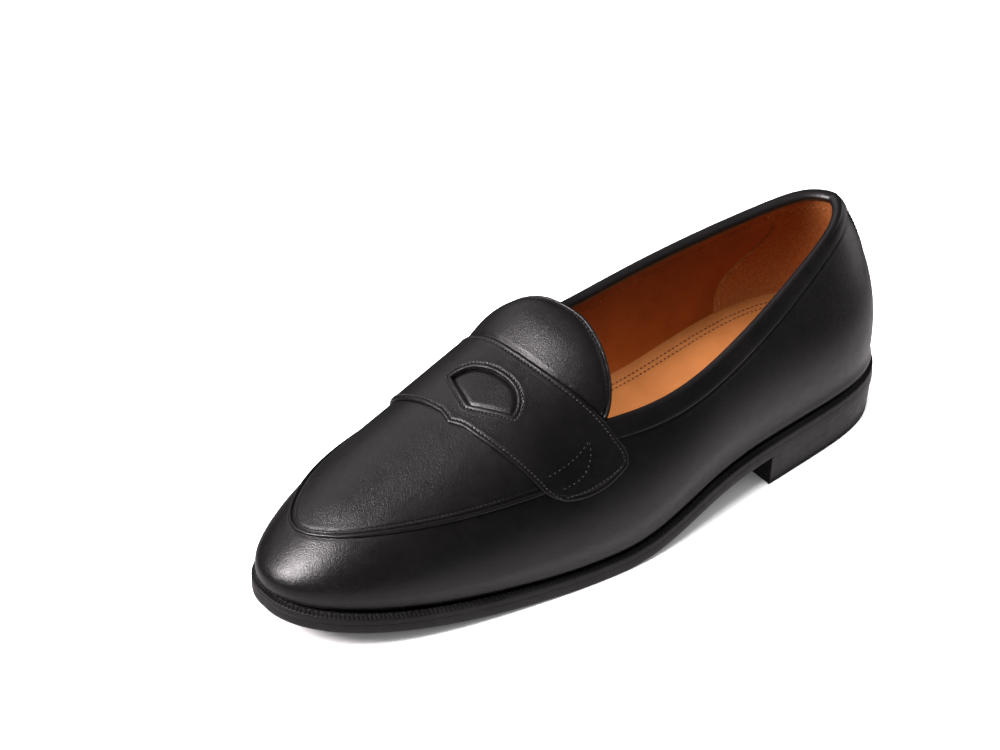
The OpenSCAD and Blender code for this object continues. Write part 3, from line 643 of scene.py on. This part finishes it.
# bead: a round cord along the seam, thinner at its ends
BEAD_SIDES = 16
p, nrm = round_toe(on_seam)
n = len(p)
radius = 0.78 * np.clip(np.minimum(np.arange(n), np.arange(n)[::-1]) / 10 + 0.3, 0, 1)
across = np.cross(nrm, unit(np.gradient(p, axis=0)))
ang = np.linspace(0, 2 * np.pi, BEAD_SIDES, endpoint=False)[None, :, None]
rings = p[:, None] + radius[:, None, None] * (nrm[:, None] * np.cos(ang) + across[:, None] * np.sin(ang))
caps = np.array([np.arange(BEAD_SIDES), (n - 1) * BEAD_SIDES + np.arange(BEAD_SIDES)[::-1]])
solid("moccasin_bead", rings.reshape(-1, 3), [quads(n, BEAD_SIDES, wrap_m=True), caps], CALF,
      "moccasin_bead", weld=0)
# the apron's stitches take the darkened thread, painted shade for their groove
thread("apron_thread", "apron_stitches", [round_toe(inside_seam)], 1.75, SHADED_THREAD, length=0.7, r=0.2,
       rise=0.04)

# tongue: its outline as an angle against x, from the dome's tip to under the strap
TONGUE_X, TONGUE_END, DOME_A = 152.4, 186.4, 18.0


def tongue_outer(x):
    t = np.clip((x - TONGUE_X) / 14, 0, 1)
    return DOME_A + 34.5 * np.sqrt(1 - (1 - t) ** 2) + 7 * np.clip((x - 167) / 20, 0, 1)


def tongue_inner(x):
    t = np.maximum(x - TONGUE_X, 0) / 24
    return np.maximum(DOME_A - 71 * t**0.75, -53 - 6 * np.clip((x - 178) / 8.4, 0, 1))


def tongue_swell(gap):
    """How far the padding lifts the tongue at a distance behind the strap."""
    return TONGUE_LOFT * np.sin(np.pi / 2 * np.clip(gap / 15, 0, 1))


def tongue_lift(gap):
    """How far the whole tongue stands off the last behind the strap."""
    return 0.9 * (1 - np.cos(np.pi * np.clip(gap / 22, 0, 1)))


x = TONGUE_X + (TONGUE_END - TONGUE_X) * np.linspace(0, 1, 120)[:, None] ** 2
a = mix(tongue_inner(x), tongue_outer(x), (1 - np.cos(np.pi * np.linspace(0, 1, 180)))[None] / 2)
base = over_crest(x + 0 * a, a)
nrm = normal(q_of(x) + 0 * a, side_of(a), 90 - np.abs(a))
rim_x = TONGUE_X + (TONGUE_END + 2 - TONGUE_X) * np.linspace(0, 1, 900) ** 2
e = nearest(base, np.concatenate([over_crest(rim_x, side(rim_x)) for side in (tongue_outer, tongue_inner)]))
loft = tongue_swell(strap_rear(a) - x)
h = -1.1 + 1.75 * quarter_round(e / 1.3)
h += (loft + 0.1) * (1 - np.exp(-np.clip(e - 1.6, 0, None) / 2.6)) - 0.42 * bump(e, 2.35, 0.5)
h += 0.28 * bump(e, 1.0, 0.6)
h += 0.10 * wave(base, 22.0, 7) + 0.05 * wave(base, 8.0, 8)
h -= 1.15 * np.clip((x - strap_rear(a) + 1.8) / 2.6, 0, 1)
base = base + nrm * tongue_lift(strap_rear(a) - x)[..., None]
tongue = shell("tongue", base + nrm * h[..., None], base - nrm * SKIN_T, GRAINED, "tongue")
foam = np.maximum(np.clip((e - 1.4) / 3, 0, 1) * (h - 0.9 + SKIN_T), 0.05) - SKIN_T
stuffing = shell("tongue_padding", base + nrm * (foam - 0.02)[..., None], base - nrm * (SKIN_T + 0.01), FOAM,
                 "tongue_padding")
shell("tongue_lining", base - nrm * (SKIN_T + 0.02), base - nrm * (SKIN_T + LINING_T), LINING,
      "tongue_lining")

# stitches round the tongue, 2.3 mm in from its edge
x = TONGUE_X + (176 - TONGUE_X) * np.linspace(0, 1, 500) ** 2
line = np.concatenate([np.stack([x, tongue_outer(x)], -1)[::-1], np.stack([x, tongue_inner(x)], -1)[1:]])
line, _ = resample(line * FLAT, 900)
along = unit(np.gradient(line, axis=0))
inwards = np.stack([-along[:, 1], along[:, 0]], -1)
inwards *= np.sign(np.sum((np.array([172, 0.0]) - line) * inwards, 1))[:, None]
for _ in range(30):
    inwards[1:-1] = (inwards[:-2] + inwards[1:-1] + inwards[2:]) / 3
x, a = ((line + unit(inwards) * 2.3) / FLAT).T
seen = x < strap_rear(a) - 0.5
x, a = x[seen], a[seen]
gap = strap_rear(a) - x
lift = tongue_swell(gap) * (1 - math.exp(-0.7 / 2.6)) + 0.30 + tongue_lift(gap)
nrm = normal(q_of(x), side_of(a), 90 - np.abs(a))
thread("tongue_thread", "tongue_stitches", [(over_crest(x, a) + nrm * lift[:, None], nrm)], 1.9, THREAD,
       r=0.27)


# ---------------------------------------------------------------- the strap
def strap_at(x, a):
    """A point under the strap and its normal, the strap's ends being drawn in to round corners."""
    x, a = np.broadcast_arrays(np.asarray(x, float), np.asarray(a, float))
    c = (strap_front(a) + strap_rear(a)) / 2
    u = (x - c) / (strap_front(a) - c)
    e = np.clip((np.abs(a) - 60) / (STRAP_REACH - 60), 0, 1)
    u2 = u * np.sqrt(1 - 0.42 * e**2)
    e2 = e * np.sqrt(np.maximum(0, 1 - 0.42 * u**2))
    a2 = np.where(e > 0, np.sign(a) * mix(60, STRAP_REACH, e2), a)
    q, s, th = q_of(c + u2 * (strap_front(a2) - c)), side_of(a2), 90 - np.abs(a2)
    return last(q, s, th), normal(q, s, th)


def packed(n, ends):
    """0..1 with extra lines close to both ends; ends are those lines' places."""
    return np.unique(np.concatenate([ends, np.linspace(0, 1, n), 1 - np.asarray(ends)]))


END_LINES = [0.0, 0.002, 0.004, 0.008, 0.013]
ang = np.unique(np.round(np.concatenate([
    mix(-STRAP_REACH, SLOT_A - SLOT_HALF, packed(150, END_LINES)), slot_angles(111),
    mix(SLOT_A + SLOT_HALF, STRAP_REACH, packed(140, END_LINES))]), 6))[:, None]
al, f = np.linspace(-STRAP_REACH, STRAP_REACH, 1600), np.linspace(0, 1, 400)
outline = [strap_at(side(al), al)[0] for side in (strap_front, strap_rear)]
outline += [strap_at(mix(strap_rear(a), strap_front(a), f), a)[0] for a in (-STRAP_REACH, STRAP_REACH)]
outline = np.concatenate(outline)
slot_a = slot_angles(900)
slot_rim = np.concatenate([strap_at(side(slot_a), slot_a)[0] for side in (slot_front, slot_rear)])
across = packed(64, [0.0, 0.002, 0.005, 0.009, 0.015, 0.023, 0.034, 0.048])[None]
pts, faces, count = [], [], 0
for rear, front in ((strap_rear, slot_rear), (slot_front, strap_front)):
    p, nrm = strap_at(mix(rear(ang), front(ang), across), ang)
    e, g = np.minimum(nearest(p, outline), 50), nearest(p, slot_rim)
    near = np.minimum(e, g)
    h = STRAP_T - 0.9 + 0.9 * quarter_round(np.minimum(e / 0.95, g / 0.55))
    h += -0.20 * bump(near, 1.85, 0.42) + 0.07 * bump(near, 1.0, 0.5) + 0.06 * bump(near, 3.0, 0.8)
    h += 0.08 * wave(p, 24.0, 11) + 0.03 * wave(p, 8.0, 12)
    pts += [(p + nrm * h[..., None]).reshape(-1, 3), (p - nrm * 0.25).reshape(-1, 3)]
    faces.append(shell_faces(*h.shape) + count)
    count += 2 * h.size
solid("saddle_strap", np.concatenate(pts), np.concatenate(faces), GRAINED, "saddle_strap")

LIFT = STRAP_T - 0.06


def on_strap(x, a, d=LIFT):
    """A line of stitches on the strap."""
    p, nrm = strap_at(x, a)
    return p + nrm * d, nrm


a = np.linspace(-69.5, 69.5, 900)
rows = [on_strap(strap_front(a) - 1.85, a), on_strap(strap_rear(a) + 1.85, a)]
for s in (-1, 1):
    a = np.full(200, s * (STRAP_REACH - 2.9))
    rows.append(on_strap(mix(strap_rear(a) + 3.4, strap_front(a) - 3.4, np.linspace(0, 1, 200)), a))
thread("strap_edge_thread", "strap_edge_stitches", rows, 1.75, THREAD, r=0.30, rise=0.1, tilt=0.12)

# the row round the slot, 1.75 mm out from its rim
ring = [np.stack([side(slot_a), slot_a], -1) for side in (slot_front, slot_rear)]
ring = np.concatenate([ring[0], ring[1][::-1][1:]])
ring = resample(ring * FLAT, 1201)[0][:-1]
along = unit(np.roll(ring, -3, 0) - np.roll(ring, 3, 0))
outwards = np.stack([along[:, 1], -along[:, 0]], -1)
outwards *= np.sign(np.sum((ring - ring.mean(0)) * outwards, 1))[:, None]
for _ in range(60):
    outwards = unit((np.roll(outwards, 1, 0) + outwards + np.roll(outwards, -1, 0)) / 3)
ring = ring + outwards * 1.75
x, a = (np.concatenate([ring, ring[:1]]) / FLAT).T
thread("strap_slot_thread", "strap_slot_stitches", [on_strap(x, a)], 1.55, THREAD, r=0.33, rise=0.14,
       tilt=0.12)

# half-moons of stitches at the strap's ends
f = np.linspace(0, 1, 300)
rows = []
for s in (-1, 1):
    rear, front = strap_rear(s * 54.0) + 10, strap_front(s * 62.0) - 3
    rows.append(on_strap(mix(rear, front, f), s * (57.3 - 3.5 * (1 - f) ** 3), LIFT + 0.1))
    rows.append(on_strap(mix(rear, front - 4, f**1.6), s * (53.9 + 11 * (1 - (1 - f) ** 3)), LIFT + 0.1))
thread("strap_end_thread", "strap_end_stitches", rows, 2.2, THREAD, length=0.45, r=0.28, rise=0.08)

# ---------------------------------------------------------------- the collar
# a band up the outside, a roll over the edge and a tuck inside, each a run of lines
WRAP = 0.9
t, s = (c[:, 0] for c in both_ways(601))
q = t * np.where(s > 0, mouth_q(1) + 0.016, mouth_q(-1) + 0.006)
top, low = th_top(q, s), th_collar(q, s)
edge_p, edge_n, edge_up = last(q, s, top), normal(q, s, top), climb(q, s, top)
face, tuck = np.linspace(0, 1, 26), np.linspace(0.4, 2.0, 10)


def collar(band, r_out, r_up, back):
    """The lines of one skin of the collar: heights on the band, radii of the roll, depths of the tuck."""
    lines = [skin(q, s, th, d + 0 * q) for th, d in band]
    for phi in np.linspace(0.12, math.pi - 0.12, 18):
        lines.append(edge_p + edge_n * (r_out * math.cos(phi) - INNER / 2) + edge_up * (r_up * math.sin(phi)))
    lines += [skin(q, s, top - k / per_degree(q, s, top), d + 0 * q) for k, d in zip(tuck, back)]
    return np.stack(lines, 1)


puffs = [WRAP + 0.42 * math.sin(math.pi * min(1, f * 1.02)) ** 0.8 - 0.75 * math.exp(-f / 0.035) for f in face]
r = (INNER + 2 * WRAP) / 2
outer = collar([(mix(low, top - 0.6, f), d) for f, d in zip(face, puffs)], r, r * 0.62,
               -INNER - WRAP + 0.55 * np.exp(-(2.0 - tuck) / 0.3))
inner = collar([(mix(low, top - 1, f), 0.02) for f in face], INNER / 2, 0.3, -INNER - 0.02 + 0 * tuck)
shell("collar_binding", outer, inner, CALF, "collar_binding")
rows = []
for s in SIDES:
    q = np.linspace(0.0, mouth_q(s) - 0.003, 700)
    th = th_collar(q, s)
    rows.append((skin(q, s, th - 0.15 / per_degree(q, s, th), 0.02 + 0 * q), normal(q, s, th)))
# the collar's stitches take the darkened thread, painted shade for the groove under the band
thread("collar_thread", "collar_stitches", rows, 2.0, SHADED_THREAD, r=0.22, rise=-0.08)

# ---------------------------------------------------------------- the inside
GRIP = [0.273, 0.273, 0.273, 0.273, 0.273, 0.272, 0.256, 0.213, 0.19, 0.21, 0.235]


def grip_edge(v):
    """q of the heel grip's front edge against height 0..1, an S that is widest low down."""
    return curve(GRIP, v)


v = np.linspace(0, 1, 80)[None]
for name, s in (("quarter_lining_outer", 1.0), ("quarter_lining_inner", -1.0)):
    q = mix(grip_edge(v) - 0.004, THROAT_Q, np.linspace(0, 1, 200)[:, None])
    th = mix(-30.0, np.minimum(th_skirt(q, s) + 0.5, th_top(q, s) - 0.5), v)
    p, nrm = last(q, s, th), normal(q, s, th)
    inner = p + nrm * (-INNER + 0.15 * wave(p, 18.0, 21))[..., None]
    shell(name, p - nrm * (INNER - LINING_T), inner, LINING, name)

t, s = both_ways(181)
v = np.linspace(0, 1, 90)[None]
q = t * grip_edge(v)
th = mix(-30.0, th_top(q, s) - 0.5, v)
p, nrm = last(q, s, th), normal(q, s, th)
lip = 0.45 * np.clip((1 - t) / 0.02, 0, 1) ** 0.5
inner = p - nrm * (INNER + lip + 0.08 * wave(p, 6.0, 31))[..., None]
shell("heel_grip", p - nrm * (INNER - LINING_T), inner, SUEDE, "heel_grip")
grip_rows, lining_rows = [], []
for s in SIDES:
    v = np.linspace(0.2, 0.93, 400)
    q = grip_edge(v) * 0.972
    grip_rows.append(row(q, s, mix(-30.0, th_top(q, s) - 0.5, v), -INNER - 0.45, -1))
    q = np.linspace(0.02, 0.525, 500)
    th = th_top(q, s)
    lining_rows.append(row(q, s, th - 7.4 / per_degree(q, s, th), -INNER - np.where(q < 0.26, 0.45, 0.0), -1))
thread("heel_grip_thread", "heel_grip_stitches", grip_rows, 2.3, TAN_THREAD, r=0.26)
thread("lining_thread", "lining_stitches", lining_rows, 2.3, TAN_THREAD, r=0.28, rise=0.08)

t, s = both_ways(301)
q = 1 - t * (1 - THROAT_Q)
th = mix(-30.0, 90.0, np.linspace(0, 1, 60)[None])
p, nrm = last(q, s, th), normal(q, s, th)
shell("vamp_lining", p - nrm * (SKIN_T + STIFF_T), p - nrm * INNER, DRILL, "vamp_lining")


# sock: soft, a little dished, turned up against the lining
def sock_side(q, s):
    """Where the sock's top meets the lining."""
    pad_h = np.maximum(0, curve(PAD, x_of(q) / LEN))
    h = 1 - (SOCK_TOP - WELT_TOP + pad_h + 0.5) / curve(BELLY, q)
    return skin(q, s, -30 * np.clip(h, 0, 1), -INNER + 0.25 + 0 * q)


def on_sock(q, v):
    """A point of the sock's top, v from -1 at the inner wall to 1 at the outer."""
    a, b = sock_side(q, 1.0), sock_side(q, -1.0)
    p = (a + b) / 2 + (a - b) / 2 * np.asarray(v)[..., None]
    dished = np.clip((q - 0.03) * 10, 0, 1)
    p[..., 2] += -1.3 * dished * (1 - np.abs(v) ** 5) + 0.35
    return p


def sock_half(q):
    return distance(on_sock(q, 1.0 + 0 * q), on_sock(q, -1.0 + 0 * q)) / 2


SOCK_ROWS = (5.4, 8.0)  # the double row's distances from the wall
q, v = np.broadcast_arrays(mix(0.02, 0.975, np.linspace(0, 1, 260))[:, None],
                           np.sin(np.linspace(-1, 1, 110) * np.pi / 2)[None])
p = on_sock(q, v)
side_gap = sock_half(q) * (1 - np.abs(v))
pressed = bump(side_gap, SOCK_ROWS[0], 0.5) + bump(side_gap, SOCK_ROWS[1], 0.5)
p[..., 2] += 0.12 * wave(p, 14.0, 41) - 0.22 * pressed * (q < 0.6)
low = p - np.array([0, 0, 1.0])
shell("sock", p, low, SOCK, "sock_liner")
# foam wedge between sock and insole at the heel
over_pad = low[:int(np.searchsorted(x_of(q[:, 0]), 95.0))] - np.array([0, 0, 0.03])
under_pad = over_pad.copy()
under_pad[..., 2] = np.minimum(z_under(over_pad[..., 0]) + WELT_TOP + 0.95, over_pad[..., 2] - 0.05)
pad = shell("heel_pad", over_pad, under_pad, FOAM, "heel_pad")
q, upright = np.linspace(0.09, 0.56, 600), np.tile([0.0, 0, 1], (600, 1))
rows = [(on_sock(q, s * (1 - inset / sock_half(q))) - [0, 0, 0.2], upright) for s in SIDES for inset in SOCK_ROWS]
thread("sock_thread", "sock_stitches", rows, 2.1, DARK_TAN, r=0.32, length=0.62, rise=0.16)


# ---------------------------------------------------------------- the bottom
def bottom_line(q, s, off, z):
    """A line off the outline, at a height over the sole's underside."""
    return np.concatenate([edge(q, s, off), (z_under(x_of(q)) + z)[:, None]], 1)


def round_bottom(n):
    """n places evenly spaced round the welt: outer side heel to toe, then back."""
    fine = np.linspace(0, 1, 4000)
    runs = []
    for s in SIDES:
        steps = np.linalg.norm(np.diff(edge(fine, s, welt_edge(fine)), axis=0), axis=1)
        runs.append(np.concatenate([[0], np.cumsum(steps)]))
    turn, total = runs[0][-1], runs[0][-1] + runs[1][-1]
    at = np.arange(n) / n * total
    q = np.where(at < turn, np.interp(at, runs[0], fine), np.interp(total - at, runs[1], fine))
    return q, np.where(at < turn, 1.0, -1.0), at


# welt: its rings go down the outer edge, over the wheeled top and back under the upper
NOTCH_PITCH = 1.75
q, s, at = round_bottom(2600)
notch = np.clip((x_of(q) - 95) / 40, 0.0, 1) * np.clip(np.abs(np.sin(np.pi * at / NOTCH_PITCH)) * 1.35 - 0.15, 0, 1)
reach, inner_end = welt_edge(q), -curve(INSET, q) - 2.4
WELT_RINGS = [  # distance from the edge, height over the sole, depth of the notches
    (0.0, 0.05, 0), (-0.02, 0.35, 0), (0.0, 1.2, 0), (0.0, 2.3, -0.15), (-0.12, 2.72, -0.25), (-0.35, 2.92, -0.32),
    (-0.65, 2.90, -0.40), (-1.0, 2.82, -0.46), (-1.5, 2.80, -0.50), (-2.0, 2.80, -0.44), (-2.4, 2.82, -0.26),
    (-2.7, 2.86, -0.06)]
rings = [bottom_line(q, s, np.maximum(reach + off, inner_end + 0.4), SOLE_T + z + depth * (1 - notch) * 0.9)
         for off, z, depth in WELT_RINGS]
for f, z in ((0.35, 2.80), (0.7, 2.6), (0.9, 2.2), (1.0, 1.6), (1.0, 0.05)):
    rings.append(bottom_line(q, s, mix(np.maximum(reach - 2.9, inner_end + 0.3), inner_end, f), SOLE_T + z))
n, m = len(q), len(rings)
solid("welt", np.stack(rings, 1).reshape(-1, 3), quads(n, m, True, True), [WELTED, EDGE], "welt",
      mat_index=np.tile((np.arange(m) < 5).astype(int), n))

q, upright = np.linspace(0.47, 1, 500), np.tile([0.0, 0, 1], (500, 1))
rows = [(bottom_line(q, s, welt_edge(q) - 2.95, WELT_TOP - 0.18), upright) for s in SIDES]
thread("welt_thread", "welt_stitches", rows, 2.6, THREAD, r=0.22, rise=0.0)

# outsole: its edge from below to above, rounded in front of the heel and square over it,
# and an underside that follows the arch
SOLE_EDGE = [(-1.2, 0.0), (-0.7, 0.06), (-0.28, 0.3), (-0.08, 0.7), (0.05, 1.5), (0.06, 2.6), (0.04, 3.5),
             (0.02, 4.1), (-0.01, 4.26), (-0.1, 4.3)]
q = np.linspace(0, 1, 320)
over_heel = 1 / (1 + np.exp((x_of(q) - 0.262 * LEN) / 0.5))


def sole_edge(s, places):
    lines = []
    for off, z in places:
        square = 0.85 * over_heel if -1 < off < 0 and z < 1 else 0
        lines.append(bottom_line(q, s, welt_edge(q) + off * (1 - square), z))
    return lines


under_a, under_b = (bottom_line(q, s, welt_edge(q) - 1.2, 0) for s in SIDES)
cols = sole_edge(1.0, SOLE_EDGE[::-1]) + [mix(under_a, under_b, f) for f in np.linspace(0, 1, 42)[1:-1]]
cols += sole_edge(-1.0, SOLE_EDGE)
pts = np.stack(cols, 1).reshape(-1, 3)
solid("outsole", pts, quads(len(q), len(cols), wrap_m=True), EDGE, "outsole")

# heel: stacked lifts over a rubber top lift
BREAST = 0.267 * LEN


def heel_loop(d):
    """The heel's outline, d inside the welt's edge, closed by its slightly hollow breast."""
    q = np.linspace(0, float(q_of(BREAST)), 120)
    outer_side, inner_side = (edge(q, s, welt_edge(q) - d) for s in SIDES)
    f = np.linspace(0, 1, 42)[1:-1, None]
    front = mix(inner_side[-1], outer_side[-1], f)
    front[:, 0] -= 0.7 * np.sin(np.pi * f[:, 0])
    return np.concatenate([outer_side[::-1], inner_side[1:], front])


def heel_layer(name, z0, z1, d0, d1, mat, r):
    """One layer between two heights, d0 and d1 inside the welt's edge, with edges rounded by r."""
    rings = []
    for f, inset in [(0.0, r), (0.06, r * 0.4), (0.16, 0.0), (0.5, -0.03), (0.84, 0.0), (0.94, r * 0.4), (1.0, r)]:
        p = heel_loop(mix(d0, d1, f) + inset)
        rings.append(np.concatenate([p, np.full((len(p), 1), mix(z0, z1, f))], 1))
    n, m = len(rings[0]), len(rings)
    caps = np.array([np.arange(n) * m, (np.arange(n) * m + m - 1)[::-1]])
    ob = solid(name, np.stack(rings, 1).reshape(-1, 3), [quads(n, m, wrap_n=True), caps], mat, name, weld=0)
    ob.modifiers.new("crease", "EDGE_SPLIT").split_angle = math.radians(50)


LIFTS_MET = TOPLIFT_T + (HEEL_H - 0.2 - TOPLIFT_T) / 2
heel_layer("heel_top_lift", 0.0, TOPLIFT_T, 1.75, 1.3, RUBBER, 0.05)
heel_layer("heel_lift_lower", TOPLIFT_T, LIFTS_MET, 1.25, 0.88, EDGE, 0.03)
heel_layer("heel_lift_upper", LIFTS_MET, HEEL_H - 0.08, 0.85, 0.45, EDGE, 0.03)

# hidden pieces keep their CAD shape
for node_name, mat in {
    "heel_nails": BRASS, "cork_filler": CORK, "heel_seat_filler": BOARD, "steel_shank": STEEL, "insole_board": BOARD,
    "heel_counter": STIFF, "interlining": DRILL, "toe_puff": STIFF,
}.items():
    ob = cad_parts[node_name]
    ob.data.materials.clear()
    ob.data.materials.append(mat)

# ---------------------------------------------------------------- stage
scene = bpy.context.scene
WARM = (1, 0.93, 0.945)  # tint of what the leather reflects


def place_object(name, data):
    ob = bpy.data.objects.new(name, data)
    scene.collection.objects.link(ob)
    return ob


white, link, b, node, place = material("floor_white")
cloud = node("ShaderNodeTexNoise", Scale=3.0, Detail=2)
link(place, cloud.inputs["Vector"])
link(ramp(link, node, cloud.outputs["Fac"], [(0.3, (0.86,)), (0.7, (0.88,))]), b.inputs["Base Color"])
b.inputs["Roughness"].default_value = 0.9
b.inputs["Specular IOR Level"].default_value = 0.1
b.inputs["Emission Color"].default_value = (1, 1, 1, 1)
# the floor glows by emission, and ambient occlusion dims that glow where the shoe closes the floor in: a painted
# contact shadow
closed = node("ShaderNodeAmbientOcclusion", Distance=0.04)
closed.samples = 8
painted_shadow_emission = node("ShaderNodeMath")
painted_shadow_emission.operation = "MULTIPLY"
painted_shadow_emission.inputs[1].default_value = 0.8
link(closed.outputs["AO"], painted_shadow_emission.inputs[0])
link(painted_shadow_emission.outputs[0], b.inputs["Emission Strength"])

me = bpy.data.meshes.new("floor")
bm = bmesh.new()
bmesh.ops.create_circle(bm, cap_ends=True, segments=96, radius=12.0)
bm.to_mesh(me)
bm.free()
me.materials.append(white)
floor = place_object("floor", me)
floor.visible_glossy = False

# the world lights the shoe faintly and shows white behind it
world = bpy.data.worlds.new("studio")
scene.world = world
world.use_nodes = True
tree = world.node_tree
dim, white_back = tree.nodes["Background"], tree.nodes.new("ShaderNodeBackground")
for background, strength in ((dim, 0.05), (white_back, 1.0)):
    background.inputs["Color"].default_value = (1, 1, 1, 1)
    background.inputs["Strength"].default_value = strength
blend = tree.nodes.new("ShaderNodeMixShader")
tree.links.new(tree.nodes.new("ShaderNodeLightPath").outputs["Is Camera Ray"], blend.inputs[0])
tree.links.new(dim.outputs[0], blend.inputs[1])
tree.links.new(white_back.outputs[0], blend.inputs[2])
tree.links.new(blend.outputs[0], tree.nodes["World Output"].inputs["Surface"])


def direction(az, el):
    """Unit vector by azimuth from the toe and height, in degrees."""
    az, el = math.radians(az), math.radians(el)
    return Vector((math.cos(az) * math.cos(el), math.sin(az) * math.cos(el), math.sin(el)))


# softboxes: azimuth, height, distance, width, depth, watts
for name, az, el, far, width, depth, power in (
        ("overhead", 15, 83, 2.4, 1.9, 1.9, 146), ("toe_box", -12, 37, 1.6, 0.55, 0.46, 45),
        ("left_panel", -82, 36, 2.0, 1.5, 1.1, 5.5), ("top_panel", -50, 84, 2.2, 1.9, 1.9, 2.2),
        ("heel_panel", 178, 4, 1.6, 1.1, 1.0, 3.5)):
    data = bpy.data.lights.new(name, "AREA")
    data.shape = "RECTANGLE"
    data.size, data.size_y, data.energy = width, depth, power
    ob = place_object(name, data)
    ob.location = direction(az, el) * far
    ob.rotation_euler = (Vector((0, 0, 0.04)) - ob.location).to_track_quat("-Z", "Y").to_euler()
    ob.visible_glossy = name != "overhead"
    data.color = WARM if ob.visible_glossy else (1, 1, 1)

# floor round the shoe as its leather sees it: a bright rim that fades outwards
GLOW = [(0.0, 0.95), (20.0, 0.85), (42.0, 0.66), (66.0, 0.28), (88.0, 0.06), (112.0, 0.0)]  # reach, strength
q = np.linspace(0, 1, 120)
loops = []
for reach, _ in GLOW:
    far = welt_edge(q) + reach * (1 + 0.85 * np.exp(-((q / 0.16) ** 2)))
    loops.append(np.concatenate([edge(q, 1.0, far), edge(q, -1.0, far)[::-1][1:-1]]))
loops = np.stack(loops)
n, m = loops.shape[:2]
me = bpy.data.meshes.new("floor_glow")
pts = metres(np.concatenate([loops, np.full((n, m, 1), 0.3)], -1).reshape(-1, 3))
me.from_pydata(pts.tolist(), [], quads(n, m, wrap_m=True)[:, ::-1].tolist())
strengths = me.attributes.new("glow", "FLOAT", "POINT")
strengths.data.foreach_set("value", np.repeat([k for _, k in GLOW], m).astype(np.float32))
glow = bpy.data.materials.new("floor_glow")
glow.use_nodes = True
tree = glow.node_tree
tree.nodes.clear()
strength = tree.nodes.new("ShaderNodeAttribute")
strength.attribute_name = "glow"
emission = tree.nodes.new("ShaderNodeEmission")
emission.inputs["Color"].default_value = (*WARM, 1)
tree.links.new(strength.outputs["Fac"], emission.inputs["Strength"])
tree.links.new(emission.outputs[0], tree.nodes.new("ShaderNodeOutputMaterial").inputs["Surface"])
me.materials.append(glow)
card = place_object("floor_glow", me)
for flag in ("visible_camera", "visible_diffuse", "visible_transmission", "visible_shadow", "visible_volume_scatter"):
    setattr(card, flag, False)

# camera fitted to the photograph's view
CAMERA_DISTANCE = 1.461193
back, roll = direction(54.531, 33.963), math.radians(-0.603)
right = (-back).cross(Vector((0, 0, 1))).normalized()
up = right.cross(-back)
right, up = right * math.cos(roll) + up * math.sin(roll), up * math.cos(roll) - right * math.sin(roll)
data = bpy.data.cameras.new("camera")
data.sensor_width, data.lens, data.clip_start = 36.0, 129.21408, 0.01
camera = place_object("camera", data)
camera.matrix_world = Matrix((right, up, back)).transposed().to_4x4()
camera.location = Vector(metres([155.132, -40.801, 40.0])) + back * CAMERA_DISTANCE
scene.camera = camera
scene.view_settings.view_transform = "Standard"

bpy.context.view_layer.update()
